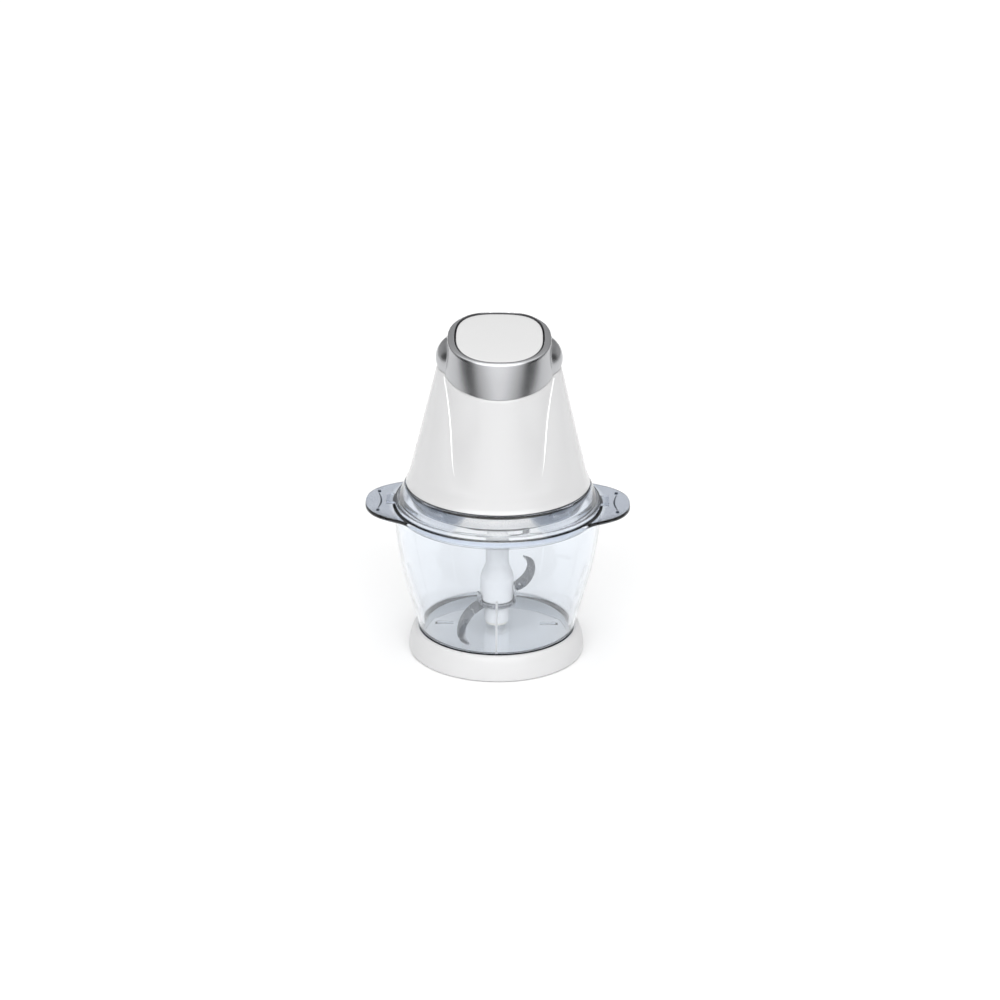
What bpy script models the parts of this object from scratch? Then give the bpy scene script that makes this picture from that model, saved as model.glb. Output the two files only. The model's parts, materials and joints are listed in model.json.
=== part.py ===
"""Mini chopper, a small food processor: a clear bowl on a round foot, a clear lid, a cone-shaped
motor unit with a push button in a metal collar, and a two-winged blade on a central spindle.

Every dimension is in millimetres and MM turns it into Blender's metres. The Z axis is the blade's
axis, the front is -Y, the handles point along +X and -X, and the foot stands on z = 0.
"""

import math

import bmesh
import bpy
from mathutils import Matrix, Vector

MM = 0.001
TURN = 2 * math.pi
FIT = 0.3  # gap between touching pieces of one body
ROUND = 36  # segments of a large turned piece
SHAPED = 48  # points round the housing and the collar
SMALL_ROUND = 16  # segments of a small turned piece

# Foot
FOOT_R = 66.8
FOOT_H = 19.5
FOOT_MOUTH_R = 59.9
FOOT_FLOOR_Z = 6.0
GRIP_R = 61.0
GRIP_W = 3.0

# Bowl
BOWL_FOOT_R = 59.0
BOWL_SKIRT_Z = 8.0
FLOOR_Z = 19.0
FLOOR_T = 2.5
WALL = 2.5
BOWL_WALL = [(59.3, 19.0), (59.8, 22.0), (64.9, 41.3), (69.2, 57.0), (72.5, 70.7), (75.0, 84.0)]
BOWL_WALL += [(76.8, 97.0), (78.3, 112.0)]
RIM_R = 80.5
RIM_TOP_Z = 119.4
RIM_T = 3.6
HANDLE_REACH = 100.0
HANDLE_HALF_W = 49.5
HANDLE_POWER = 2.6
HANDLE_EDGE_DROP = 2.6
RIB_T = 1.6
RIB_DEPTH = 2.2
RIB_TOP_Z = 69.0
RIDGE_IN, RIDGE_OUT = 33.0, 47.0
SPINDLE_R = 3.0
SPINDLE_TOP_Z = 66.0

# Lid
LID_R = 77.8
LID_SEAT_Z = 119.8
LID_RIM_Z = 123.1
LID_CREST_Z = 135.8
LID_HOLE_R = 12.5
LID_FLOOR_Z = 121.0
LID_SKIRT_R = 73.6
LID_SKIRT_Z = 112.0
TAB_REACH = 84.0

# Blade unit
HUB_R = 12.75
NECK_R = 8.75
HUB_LOW_R = 9.4
HUB_STEP_Z = 40.6
NECK_Z = 72.0
HUB_TOP_Z = 116.0
HUB_BASE_Z = 23.3
DRIVE_HEX_R = 6.5
DRIVE_TOP_Z = 129.5
BUSH_R = 5.0
BLADE_T = 1.2
LOWER_RING_Z = 37.6
UPPER_RING_Z = 39.1
RING_R = 14.2
LOWER_TIP_Z = 23.5
WING_OUTER = [(12.0, -5.0), (30.0, -2.0), (36.0, 52.0), (20.7, 46.8)]  # curves in plan, towards +X
WING_INNER = [(7.5, 9.0), (20.0, 13.5), (28.0, 34.0), (20.0, 45.2)]
UPPER_ROOT_Z = 50.0
UPPER_TIP_Z = 56.0
BLADE_HOLE_R = 1.5
TAB_TURN = math.radians(20)

# Motor housing and collar. Their cross-section is an oval with a round lobe at each side.
BODY_Z = 136.7
SEAM_Z = 229.0
TILT = 0.174  # rise of the collar's top from front to back
SEAM_TILT = 0.235  # rise of the seam under the collar from front to back
SEAM_R = 46.2
CONE_SLOPE = 0.2405
LOBE_R = 14.6
LOBE_GROWTH = 0.646
OVAL_X = 41.9
SHELL = 2.5
COLLAR_H = 21.0
COLLAR_WALL = 2.2
COLLAR_TOP_X, COLLAR_TOP_Y = 38.5, 39.0
COLLAR_TOP_SHIFT = 2.2
EAR_REACH = 47.2
BOSS_R = 4.5
BOSS_RING_R = 50.0
BOSS_ANGLES = (30, 150, 270)
GASKET_R = 69.2
GLAND_Z = 153.0
GLAND_R = 4.9

# Button and switch
BUTTON_X, BUTTON_Y = 32.7, 36.2
BUTTON_SHIFT = 3.1
BUTTON_POWER = 2.9
BUTTON_H = 9.0  # from the rim plane down to the underside
BUTTON_GAP = 0.5
STEM_R = 3.5
STEM_Z = 224.8
SWITCH_TOP_Z = 219.5
SEAT_Z = 222.0
SPRING_R = 8.0
SPRING_WIRE_R = 0.5
SPRING_TURNS = 4
SPRING_STEPS = 9  # points in each turn

# Planetary gears: the sun drives three planets inside a fixed ring, and they carry the output
MODULE = 0.8
PRESSURE_ANGLE = math.radians(25)
SUN_TEETH, PLANET_TEETH, RING_TEETH = 12, 18, 48
ADDENDUM = 0.8 * MODULE
DEDENDUM = 1.08 * MODULE
BACKLASH = 0.07
PLANET_ORBIT = MODULE * (SUN_TEETH + PLANET_TEETH) / 2
GEAR_LOW_Z, GEAR_HIGH_Z = 133.6, 141.0
PIN_R = 1.5
GEARBOX_R = 24.0

# Motor
STATOR_LOW_Z, STATOR_HIGH_Z = 163.0, 183.0
STATOR_BORE_R = 15.4
ARMATURE_R = 14.9
SHAFT_R = 3.0
SHAFT_TOP_Z = 208.8
COMMUTATOR_LOW_Z, COMMUTATOR_HIGH_Z = 191.0, 201.0
COMMUTATOR_R = 9.0
BEARING_R = 7.0


# ---------------------------------------------------------------- scene and materials


def clear_scene():
    for obj in list(bpy.data.objects):
        bpy.data.objects.remove(obj, do_unlink=True)


def new_collection(name):
    collection = bpy.data.collections.new(name)
    bpy.context.scene.collection.children.link(collection)
    return collection


def material(name, colour, roughness=0.4, metallic=0.0, transmission=0.0):
    """A Principled material, shared by every sub-part that asks for the same name."""
    found = bpy.data.materials.get(name)
    if found:
        return found
    made = bpy.data.materials.new(name)
    made.use_nodes = True
    shader = made.node_tree.nodes["Principled BSDF"]
    shader.inputs["Base Color"].default_value = (*colour, 1)
    shader.inputs["Roughness"].default_value = roughness
    shader.inputs["Metallic"].default_value = metallic
    shader.inputs["Transmission Weight"].default_value = transmission
    return made


def white_plastic():
    return material("white_plastic", (0.84, 0.84, 0.84), 0.25)


def clear_plastic():
    return material("clear_plastic", (0.88, 0.91, 0.97), 0.05, transmission=1.0)


def steel():
    return material("steel", (0.62, 0.62, 0.62), 0.25, 1.0)


def dark_steel():
    return material("laminated_steel", (0.30, 0.31, 0.33), 0.45, 1.0)


def satin_metal():
    return material("satin_metal", (0.52, 0.53, 0.55), 0.32, 1.0)


def brass():
    return material("brass", (0.78, 0.58, 0.25), 0.35, 1.0)


def copper():
    return material("copper_wire", (0.72, 0.33, 0.16), 0.4, 1.0)


def rubber():
    return material("rubber", (0.55, 0.55, 0.56), 0.8)


def dark_plastic():
    return material("dark_plastic", (0.06, 0.06, 0.065), 0.5)


def nylon():
    return material("nylon", (0.80, 0.79, 0.74), 0.45)


# ---------------------------------------------------------------- shapes


def place(obj, look, collection=None, location=(0, 0, 0), turn=0.0):
    """Puts an object in its collection, with its material, location (mm) and turn about Z (rad)."""
    (collection or PARTS).objects.link(obj)
    if collection is CUTTERS:
        obj.hide_render = True
        obj.display_type = "WIRE"
    elif look:
        obj.data.materials.append(look)
    obj.location = Vector(location) * MM
    obj.rotation_euler.z = turn
    return obj


def turned(name, profile, look, collection=None, segments=ROUND, **where):
    """A solid of revolution about Z from (radius, height) points that run down its outer side. A
    profile that starts on the axis ends there too, and any other closes on itself as a ring."""
    mesh = bpy.data.meshes.new(name)
    edges = [(i, i + 1) for i in range(len(profile) - 1)]
    if profile[0][0] > 0:
        edges.append((len(profile) - 1, 0))
    mesh.from_pydata([(r * MM, 0, z * MM) for r, z in profile], edges, [])
    obj = place(bpy.data.objects.new(name, mesh), look, collection, **where)
    screw = obj.modifiers.new("Screw", "SCREW")
    screw.steps = screw.render_steps = segments
    screw.use_merge_vertices = True
    screw.merge_threshold = 1e-5
    screw.use_smooth_shade = True
    return obj


def tube(name, inner, outer, low, high, look, **more):
    return turned(name, [(outer, high), (outer, low), (inner, low), (inner, high)], look, **more)


def cylinder(name, radius, low, high, look, at=(0, 0), segments=SMALL_ROUND, collection=None, turn=0):
    """An upright cylinder, or a prism when it has few segments."""
    mesh = bpy.data.meshes.new(name)
    made = bmesh.new()
    bmesh.ops.create_cone(made, cap_ends=True, segments=segments, radius1=radius * MM,
                          radius2=radius * MM, depth=(high - low) * MM)
    made.to_mesh(mesh)
    made.free()
    middle = (at[0], at[1], (low + high) / 2)
    return place(bpy.data.objects.new(name, mesh), look, collection, middle, turn)


def box(name, low, high, look, collection=None, bevel=0.0, turn=0.0):
    """A box between two corners, turned about its own centre."""
    mesh = bpy.data.meshes.new(name)
    made = bmesh.new()
    size = Vector(high) - Vector(low)
    bmesh.ops.create_cube(made, size=1, matrix=Matrix.Diagonal((*(size * MM), 1)))
    made.to_mesh(mesh)
    made.free()
    middle = (Vector(low) + Vector(high)) / 2
    obj = place(bpy.data.objects.new(name, mesh), look, collection, middle, turn)
    if bevel:
        rounded = obj.modifiers.new("Bevel", "BEVEL")
        rounded.width = bevel * MM
        rounded.segments = 2
    return obj


def plate(name, outlines, low, high, look, **where):
    """A flat piece from one outline, or from an outline and the holes in it."""
    curve = bpy.data.curves.new(name, "CURVE")
    curve.dimensions = "2D"
    curve.fill_mode = "BOTH"
    curve.extrude = (high - low) / 2 * MM
    for outline in outlines:
        spline = curve.splines.new("POLY")
        spline.points.add(len(outline) - 1)
        for point, (x, y) in zip(spline.points, outline):
            point.co = (x * MM, y * MM, 0, 1)
        spline.use_cyclic_u = True
    at = where.pop("at", (0, 0))
    middle = (at[0], at[1], (low + high) / 2)
    return place(bpy.data.objects.new(name, curve), look, None, middle, **where)


def wire(name, path, radius, look, closed):
    """Round wire along a path of (x, y, z) points."""
    curve = bpy.data.curves.new(name, "CURVE")
    curve.dimensions = "3D"
    curve.bevel_depth = radius * MM
    curve.bevel_resolution = 1
    curve.use_fill_caps = not closed
    spline = curve.splines.new("POLY")
    spline.points.add(len(path) - 1)
    for point, co in zip(spline.points, path):
        point.co = (*(Vector(co) * MM), 1)
    spline.use_cyclic_u = closed
    return place(bpy.data.objects.new(name, curve), look)


def loft(name, rings, look, closed=False, collection=None):
    """A skin over rings of equal count. A closed one joins its last ring to its first, and an
    open one has a flat cap on each end. Rings run anticlockwise when seen from the last one."""
    mesh = bpy.data.meshes.new(name)
    made = bmesh.new()
    loops = [[made.verts.new(Vector(point) * MM) for point in ring] for ring in rings]
    count = len(loops[0])
    pairs = list(zip(loops, loops[1:] + loops[:1]))
    for low, high in pairs if closed else pairs[:-1]:
        for i in range(count):
            j = (i + 1) % count
            made.faces.new((low[i], low[j], high[j], high[i]))
    if not closed:
        made.faces.new(loops[0][::-1])
        made.faces.new(loops[-1])
    bmesh.ops.recalc_face_normals(made, faces=made.faces)
    made.to_mesh(mesh)
    made.free()
    mesh.shade_smooth()
    mesh.set_sharp_from_angle(angle=math.radians(35))
    return place(bpy.data.objects.new(name, mesh), look, collection)


def boolean(target, operand, operation):
    modifier = target.modifiers.new(operation.title(), "BOOLEAN")
    modifier.object = operand
    modifier.operation = operation
    return modifier


def cut(target, *cutters):
    for cutter in cutters:
        boolean(target, cutter, "DIFFERENCE")


def join(target, *pieces):
    for piece in pieces:
        boolean(target, piece, "UNION")


# ---------------------------------------------------------------- outlines


def polar_ring(radius, height, count=ROUND, shift=0.0):
    """Points (x, y, z) all round. radius(angle) is in plan, height(x, y) gives each point's z."""
    ring = []
    for i in range(count):
        angle = TURN * i / count
        x = radius(angle) * math.cos(angle)
        y = radius(angle) * math.sin(angle) + shift
        ring.append((x, y, height(x, y)))
    return ring


def circle(radius, count):
    return [(radius * math.cos(TURN * i / count), radius * math.sin(TURN * i / count))
            for i in range(count)]


def superellipse(half_x, half_y, power):
    """The radius at an angle of a rounded box of these half-sizes. A power of 2 is an ellipse."""
    def radius(angle):
        across = abs(math.cos(angle) / half_x) ** power
        along = abs(math.sin(angle) / half_y) ** power
        return (across + along) ** (-1 / power)
    return radius


def smooth_max(a, b, width):
    """The larger of two radii, with a fillet where they are within width of each other."""
    return max(a, b) + max(width - abs(a - b), 0) ** 2 / (4 * width)


def lobe_radius(angle, reach, lobe):
    """The radius at an angle of the two circles of radius lobe that reach out along +X and -X."""
    offset = reach - lobe
    inside = lobe ** 2 - (offset * math.sin(angle)) ** 2
    return offset * abs(math.cos(angle)) + math.sqrt(inside) if inside > 0 else 0.0


def tilted(height, tilt=TILT):
    """A plane that rises from front to back, at this height on the axis."""
    return lambda x, y: height + tilt * y


def flat(height):
    return lambda x, y: height


def bezier(points, t):
    """A point at t along the cubic curve of four control points in plan."""
    weights = ((1 - t) ** 3, 3 * t * (1 - t) ** 2, 3 * t * t * (1 - t), t ** 3)
    return tuple(sum(w * p[axis] for w, p in zip(weights, points)) for axis in (0, 1))


# ---------------------------------------------------------------- foot


def make_foot():
    """A shallow bell-shaped dish that the bowl's skirt drops into, on a soft grip ring."""
    lip = 0.8
    profile = [(FOOT_MOUTH_R + lip, FOOT_H)]
    for i in range(1, 5):
        share = i / 4
        radius = FOOT_MOUTH_R + lip + (FOOT_R - FOOT_MOUTH_R - lip) * math.sin(share * math.pi / 2)
        profile.append((radius, 1.2 + (FOOT_H - 1.2) * math.cos(share * math.pi / 2)))
    profile += [(FOOT_R - 0.8, 0.4), (0, 0.4)]
    top = [(0, FOOT_FLOOR_Z), (FOOT_MOUTH_R, FOOT_FLOOR_Z), (FOOT_MOUTH_R, FOOT_H)]
    foot = turned("foot", top + profile, white_plastic())
    groove = tube("grip_groove", GRIP_R - GRIP_W / 2 - FIT, GRIP_R + GRIP_W / 2 + FIT, -1.0, 2.3, None,
                  collection=CUTTERS)
    cut(foot, groove)
    tube("grip_ring", GRIP_R - GRIP_W / 2, GRIP_R + GRIP_W / 2, 0.0, 2.0, rubber())


# ---------------------------------------------------------------- bowl


def rim_outline(angle):
    """The rim's edge in plan: a circle that swells into a handle at each side."""
    handle = superellipse(HANDLE_REACH, HANDLE_HALF_W, HANDLE_POWER)(angle)
    return smooth_max(RIM_R, handle, 6.0) if handle > RIM_R - 6 else RIM_R


def handle_share(angle):
    """0 on the plain rim, 1 well out on a handle."""
    return min(max((rim_outline(angle) - RIM_R) / 4, 0), 1)


def edge_ring(inset, height, drop=0.0):
    """A ring that follows the rim's edge, dropping by drop out on the handles."""
    ring = polar_ring(lambda angle: rim_outline(angle) - inset, flat(height))
    return [(x, y, z - drop * handle_share(TURN * i / len(ring))) for i, (x, y, z) in enumerate(ring)]


def round_ring(radius, height):
    return polar_ring(lambda angle: radius, flat(height))


def make_bowl():
    underside = RIM_TOP_Z - RIM_T
    rings = [round_ring(BOWL_FOOT_R - WALL, FLOOR_Z - FLOOR_T),
             round_ring(BOWL_FOOT_R - WALL, BOWL_SKIRT_Z), round_ring(BOWL_FOOT_R, BOWL_SKIRT_Z)]
    rings += [round_ring(r, z) for r, z in BOWL_WALL]
    rings += [round_ring(RIM_R - 1.9, underside - 0.8), edge_ring(1.6, underside),
              edge_ring(1.6, underside, HANDLE_EDGE_DROP), edge_ring(0.2, underside, HANDLE_EDGE_DROP),
              edge_ring(0, RIM_TOP_Z - 0.7), edge_ring(0.7, RIM_TOP_Z)]
    inner_top = BOWL_WALL[-1][0] - WALL + 0.1
    rings += [round_ring(inner_top, RIM_TOP_Z), round_ring(inner_top, BOWL_WALL[-1][1])]
    rings += [round_ring(r - WALL, z) for r, z in BOWL_WALL[-2:1:-1]]
    fillet = 4.0
    floor_r = BOWL_WALL[0][0] - WALL + 0.6
    for i in range(4):
        angle = math.pi / 2 * i / 3
        rings.append(round_ring(floor_r - fillet + fillet * math.cos(angle),
                                FLOOR_Z + fillet - fillet * math.sin(angle)))
    bowl = loft("bowl", rings, clear_plastic())
    join(bowl, *inner_ribs(), *floor_ridges())
    turned("bowl_spindle", [(0, SPINDLE_TOP_Z), (SPINDLE_R - 0.8, SPINDLE_TOP_Z),
                            (SPINDLE_R, SPINDLE_TOP_Z - 1.2), (SPINDLE_R, 21.0), (6.5, 21.0),
                            (6.5, FLOOR_Z + FIT), (0, FLOOR_Z + FIT)], steel(), segments=SMALL_ROUND)


def inner_ribs():
    """Four upright ribs on the inside of the wall, each a thin slab that follows its slope."""
    lean = (BOWL_WALL[4][0] - BOWL_WALL[0][0]) / (BOWL_WALL[4][1] - BOWL_WALL[0][1])
    foot = BOWL_WALL[0][0] - WALL
    ribs = []
    for quarter in range(4):
        spin = Matrix.Rotation(quarter * TURN / 4, 3, "Z")
        sections = []
        for height in (FLOOR_Z - 1, RIB_TOP_Z):
            wall = foot + lean * (height - FLOOR_Z)
            corners = [(wall - RIB_DEPTH, -RIB_T / 2), (wall + 1.2, -RIB_T / 2),
                       (wall + 1.2, RIB_T / 2), (wall - RIB_DEPTH, RIB_T / 2)]
            sections.append([spin @ Vector((x, y, height)) for x, y in corners])
        ribs.append(loft(f"rib_{quarter}", sections, None, collection=CUTTERS))
    return ribs


def floor_ridges():
    """A low ridge on the floor at each side of the spindle, which the food is cut against."""
    return [box(f"ridge_{side}", (min(side * RIDGE_IN, side * RIDGE_OUT), -1.0, FLOOR_Z - 1),
                (max(side * RIDGE_IN, side * RIDGE_OUT), 1.0, FLOOR_Z + 1.5), None, CUTTERS)
            for side in (-1, 1)]


# ---------------------------------------------------------------- lid


def make_lid():
    """A stepped lid: the motor unit sits in its central recess, inside a raised crest."""
    profile = [(LID_R - 0.5, LID_RIM_Z), (LID_R, LID_RIM_Z - 0.5), (LID_R, LID_SEAT_Z),
               (LID_SKIRT_R, LID_SEAT_Z), (LID_SKIRT_R, LID_SKIRT_Z), (LID_SKIRT_R - 1.8, LID_SKIRT_Z),
               (LID_SKIRT_R - 1.8, 127.2), (69.0, 133.4), (68.3, 133.4), (64.3, 120.6), (63.4, 119.0),
               (LID_HOLE_R, 119.0), (LID_HOLE_R, LID_FLOOR_Z), (62.2, LID_FLOOR_Z), (66.6, 134.8),
               (67.6, LID_CREST_Z), (69.3, LID_CREST_Z), (70.6, 134.8), (75.4, 124.2),
               (76.4, LID_RIM_Z)]
    lid = turned("lid", profile, clear_plastic())
    tabs = [box(f"tab_{side}", (min(side * 76, side * TAB_REACH), -8, 120.2),
                (max(side * 76, side * TAB_REACH), 8, 122.2), None, CUTTERS) for side in (-1, 1)]
    join(lid, *tabs)
    seal_out = BOWL_WALL[-1][0] - WALL - 0.5
    tube("lid_seal", LID_SKIRT_R + FIT, seal_out, 113.5, 117.0, rubber())


# ---------------------------------------------------------------- blade unit


def make_hub():
    """The plastic shaft that carries the blades, with a hexagonal drive end on top."""
    shoulder = []
    for i in range(5):
        share = i / 4
        ease = share * share * (3 - 2 * share)
        shoulder.append((NECK_R + (HUB_R - NECK_R) * ease, NECK_Z - 14 * share))
    bore = BUSH_R + 0.1
    profile = [(0, HUB_TOP_Z), (NECK_R - 0.6, HUB_TOP_Z), (NECK_R, HUB_TOP_Z - 0.6)] + shoulder
    profile += [(HUB_R, HUB_STEP_Z), (HUB_LOW_R, HUB_STEP_Z), (HUB_LOW_R, HUB_BASE_Z), (bore, HUB_BASE_Z),
                (bore, 67.0), (0, 67.0)]
    hub = turned("blade_hub", profile, white_plastic(), segments=20)
    join(hub, cylinder("drive_end", DRIVE_HEX_R, HUB_TOP_Z - 2, DRIVE_TOP_Z, None, segments=6,
                       collection=CUTTERS))
    bush = [(BUSH_R, 62.0), (BUSH_R, 23.0), (8.5, 23.0), (8.5, 21.3), (SPINDLE_R + 0.1, 21.3),
            (SPINDLE_R + 0.1, 62.0)]
    turned("blade_bush", bush, nylon(), segments=SMALL_ROUND)


def blade_wing(name, outer, inner, root_z, tip_z):
    """A sickle-shaped wing between two curves in plan, ground to an edge on its outer curve.
    Its height runs evenly from root to tip."""
    sections = []
    steps = 10
    for i in range(steps + 1):
        t = i / steps
        edge = Vector((*bezier(outer, t), 0))
        back = Vector((*bezier(inner, t), 0))
        base = Vector((0, 0, root_z + (tip_z - root_z) * t - BLADE_T / 2))
        up = Vector((0, 0, BLADE_T))
        bevel = edge.lerp(back, min(2.6 / max((edge - back).length, 0.01), 0.6))
        sections.append([base + back, base + edge, base + edge + up * 0.2, base + bevel + up,
                         base + back + up])
    return loft(name, sections, None, collection=CUTTERS)


def opposite(points):
    """The same points half a turn round the axis."""
    return [(-x, -y) for x, y in points]


def make_blades():
    """Two wings, each on a flat ring round the hub. The lower one dips towards the floor and the
    upper one stands on a riser beside the hub."""
    ring_in = HUB_LOW_R + 0.4
    lower = tube("lower_blade", ring_in, RING_R, LOWER_RING_Z, LOWER_RING_Z + BLADE_T, steel(), segments=24)
    wing = blade_wing("lower_wing", opposite(WING_OUTER), opposite(WING_INNER),
                      LOWER_RING_Z + BLADE_T / 2, LOWER_TIP_Z)
    bore = cylinder("lower_bore", ring_in, LOWER_TIP_Z, HUB_STEP_Z, None, segments=24, collection=CUTTERS)
    cut(wing, bore)
    join(lower, wing)
    cut(lower, cylinder("lower_hole", BLADE_HOLE_R, 20, 60, None, at=(-18.5, -9.0), collection=CUTTERS))
    upper = tube("upper_blade", ring_in, RING_R, UPPER_RING_Z, UPPER_RING_Z + BLADE_T, steel(), segments=24)
    riser_x, tab_h = RING_R - 0.2, 7.5
    riser = box("riser", (riser_x - BLADE_T / 2, -5.5, UPPER_RING_Z),
                (riser_x + BLADE_T / 2, 6.5, UPPER_ROOT_Z + 0.4), None, CUTTERS)
    tab_x, tab_y = -riser_x * math.cos(TAB_TURN), -riser_x * math.sin(TAB_TURN)
    tab = box("stop_tab", (tab_x - BLADE_T / 2, tab_y - 4, UPPER_RING_Z),
              (tab_x + BLADE_T / 2, tab_y + 4, UPPER_RING_Z + tab_h), None, CUTTERS, turn=TAB_TURN)
    wing = blade_wing("upper_wing", [(15.2, -6.0)] + WING_OUTER[1:], [(12.2, 7.5)] + WING_INNER[1:],
                      UPPER_ROOT_Z, UPPER_TIP_Z)
    join(upper, riser, tab, wing)
    cut(upper, cylinder("upper_hole", BLADE_HOLE_R, 45, 60, None, at=(17.6, 2.5), collection=CUTTERS))


# ---------------------------------------------------------------- motor housing and collar


def cone_radius(height):
    """How far the housing reaches at each side, with a small flare at its lower edge."""
    return SEAM_R + CONE_SLOPE * (SEAM_Z - height) + math.exp((BODY_Z - height) / 4)


def housing_section(height, inset=0.0):
    """The housing's outline at a nominal height: near the top an oval with a narrow lobe at each
    side, which grow together into one circle at the bottom."""
    reach = cone_radius(height)
    below = SEAM_Z - height
    lobe = min(LOBE_R + LOBE_GROWTH * below, reach)
    oval_x = min(OVAL_X - 0.104 * below + 0.0045 * below ** 2, reach)
    oval = superellipse(oval_x, reach, 2)
    fillet = 0.2 + 1.6 * min(max((height - 145) / 25, 0), 1)
    return lambda angle: smooth_max(oval(angle), lobe_radius(angle, reach, lobe), fillet) - inset


def housing_ring(share, inset=0.0, raised=0.0):
    """The housing's ring at a share of the way from its flat bottom to its tilted seam."""
    nominal = BODY_Z + (SEAM_Z - BODY_Z) * share
    return polar_ring(housing_section(nominal, inset), tilted(nominal + raised, SEAM_TILT * share),
                      count=SHAPED)


def make_housing():
    shares = [0, 0.04, 0.15, 0.35, 0.6, 0.8, 1]
    step = COLLAR_WALL + 0.7
    rings = [housing_ring(share) for share in shares]
    neck = step + 2.1  # the neck inside the collar leans in with it
    rings += [housing_ring(1, step), housing_ring(1, neck, 5.0), housing_ring(1, neck + 1.8, 5.0)]
    rings += [housing_ring(share, SHELL if share < 1 else neck + 1.0) for share in shares[::-2]]
    housing = loft("motor_housing", rings, white_plastic(), closed=True)
    for index, degrees in enumerate(BOSS_ANGLES):
        angle = math.radians(degrees)
        at = (BOSS_RING_R * math.cos(angle), BOSS_RING_R * math.sin(angle))
        post = cylinder(f"boss_{index}", BOSS_R, 126.0, 166.0, None, at=at, collection=CUTTERS)
        middle = BOSS_RING_R + 4.7
        web = box(f"web_{index}", (middle * math.cos(angle) - 4.4, middle * math.sin(angle) - 0.9, 150.0),
                  (middle * math.cos(angle) + 4.4, middle * math.sin(angle) + 0.9, 165.4), None, CUTTERS,
                  turn=angle)
        join(post, web)
        join(housing, post)
        cut(housing, cylinder(f"boss_bore_{index}", 1.9, 120.0, 152.0, None, at=at, collection=CUTTERS,
                              segments=16))
    gland_bore = cylinder("gland_bore", GLAND_R + 0.5, -20, 20, None, collection=CUTTERS)
    gland_bore.rotation_euler.x = math.pi / 2
    gland_bore.location = Vector((0, cone_radius(GLAND_Z), GLAND_Z)) * MM
    cut(housing, gland_bore)
    make_gland()


def make_gland():
    """The sleeve at the back of the housing that a mains lead leaves through."""
    outside = cone_radius(GLAND_Z) + 4.0
    bore = 2.6
    profile = [(4.0, 0.0), (GLAND_R, -1.0), (GLAND_R, -14.0), (bore, -14.0), (bore, 0.0)]
    gland = turned("cord_gland", profile, rubber(), segments=SMALL_ROUND)
    gland.rotation_euler.x = -math.pi / 2
    gland.location = Vector((0, outside, GLAND_Z)) * MM


def collar_section(share, inset=0.0):
    """The collar's outline at a share of its height. Its ears bulge, then dive into the band."""
    power = 2 + (BUTTON_POWER - 2) * share
    half_x = OVAL_X + (COLLAR_TOP_X - OVAL_X) * share
    half_y = SEAM_R + (COLLAR_TOP_Y - SEAM_R) * share
    oval = superellipse(half_x, half_y, power)
    swell = 1 - ((share - 0.3) / 0.66) ** 2
    reach = EAR_REACH - 14.2 + 14.2 * math.sqrt(max(swell, 0))
    return lambda angle: smooth_max(oval(angle), lobe_radius(angle, reach, LOBE_R), 0.4) - inset


def collar_ring(share, inset=0.0):
    height = SEAM_Z + FIT + (COLLAR_H - FIT) * share
    plane = tilted(height, SEAM_TILT + (TILT - SEAM_TILT) * share)
    return polar_ring(collar_section(share, inset), plane, count=SHAPED, shift=COLLAR_TOP_SHIFT * share)


def button_ring(scale, height, grow=0.0, count=SHAPED):
    outline = superellipse(BUTTON_X + grow, BUTTON_Y + grow, BUTTON_POWER)
    return polar_ring(lambda angle: scale * outline(angle), height, count, BUTTON_SHIFT)


def make_collar():
    """The metal band with the button's opening in it."""
    shares = [0, 0.15, 0.3, 0.5, 0.7, 0.85, 0.95]
    rim_z = SEAM_Z + COLLAR_H
    rings = [collar_ring(share) for share in shares]
    rings += [collar_ring(1, 0.5), button_ring(1, tilted(rim_z - 0.2), BUTTON_GAP),
              button_ring(1, tilted(rim_z - 8), BUTTON_GAP), collar_ring(0.5, COLLAR_WALL),
              collar_ring(0, COLLAR_WALL)]
    loft("collar", rings, satin_metal(), closed=True)


def make_button():
    """The push button. Its walls are upright, because it travels straight down inside the collar."""
    rim_z = SEAM_Z + COLLAR_H
    rings = [button_ring(1, tilted(rim_z - BUTTON_H)), button_ring(1, tilted(rim_z - 1.6)),
             button_ring(0.985, tilted(rim_z - 0.8)), button_ring(0.93, tilted(rim_z - 0.5)),
             button_ring(0.6, tilted(rim_z)), button_ring(0.2, tilted(rim_z + 0.2))]
    button = loft("push_button", rings, white_plastic())
    join(button, cylinder("button_stem", STEM_R, STEM_Z, rim_z - BUTTON_H + 3, None, at=(0, BUTTON_SHIFT),
                          collection=CUTTERS))


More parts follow.
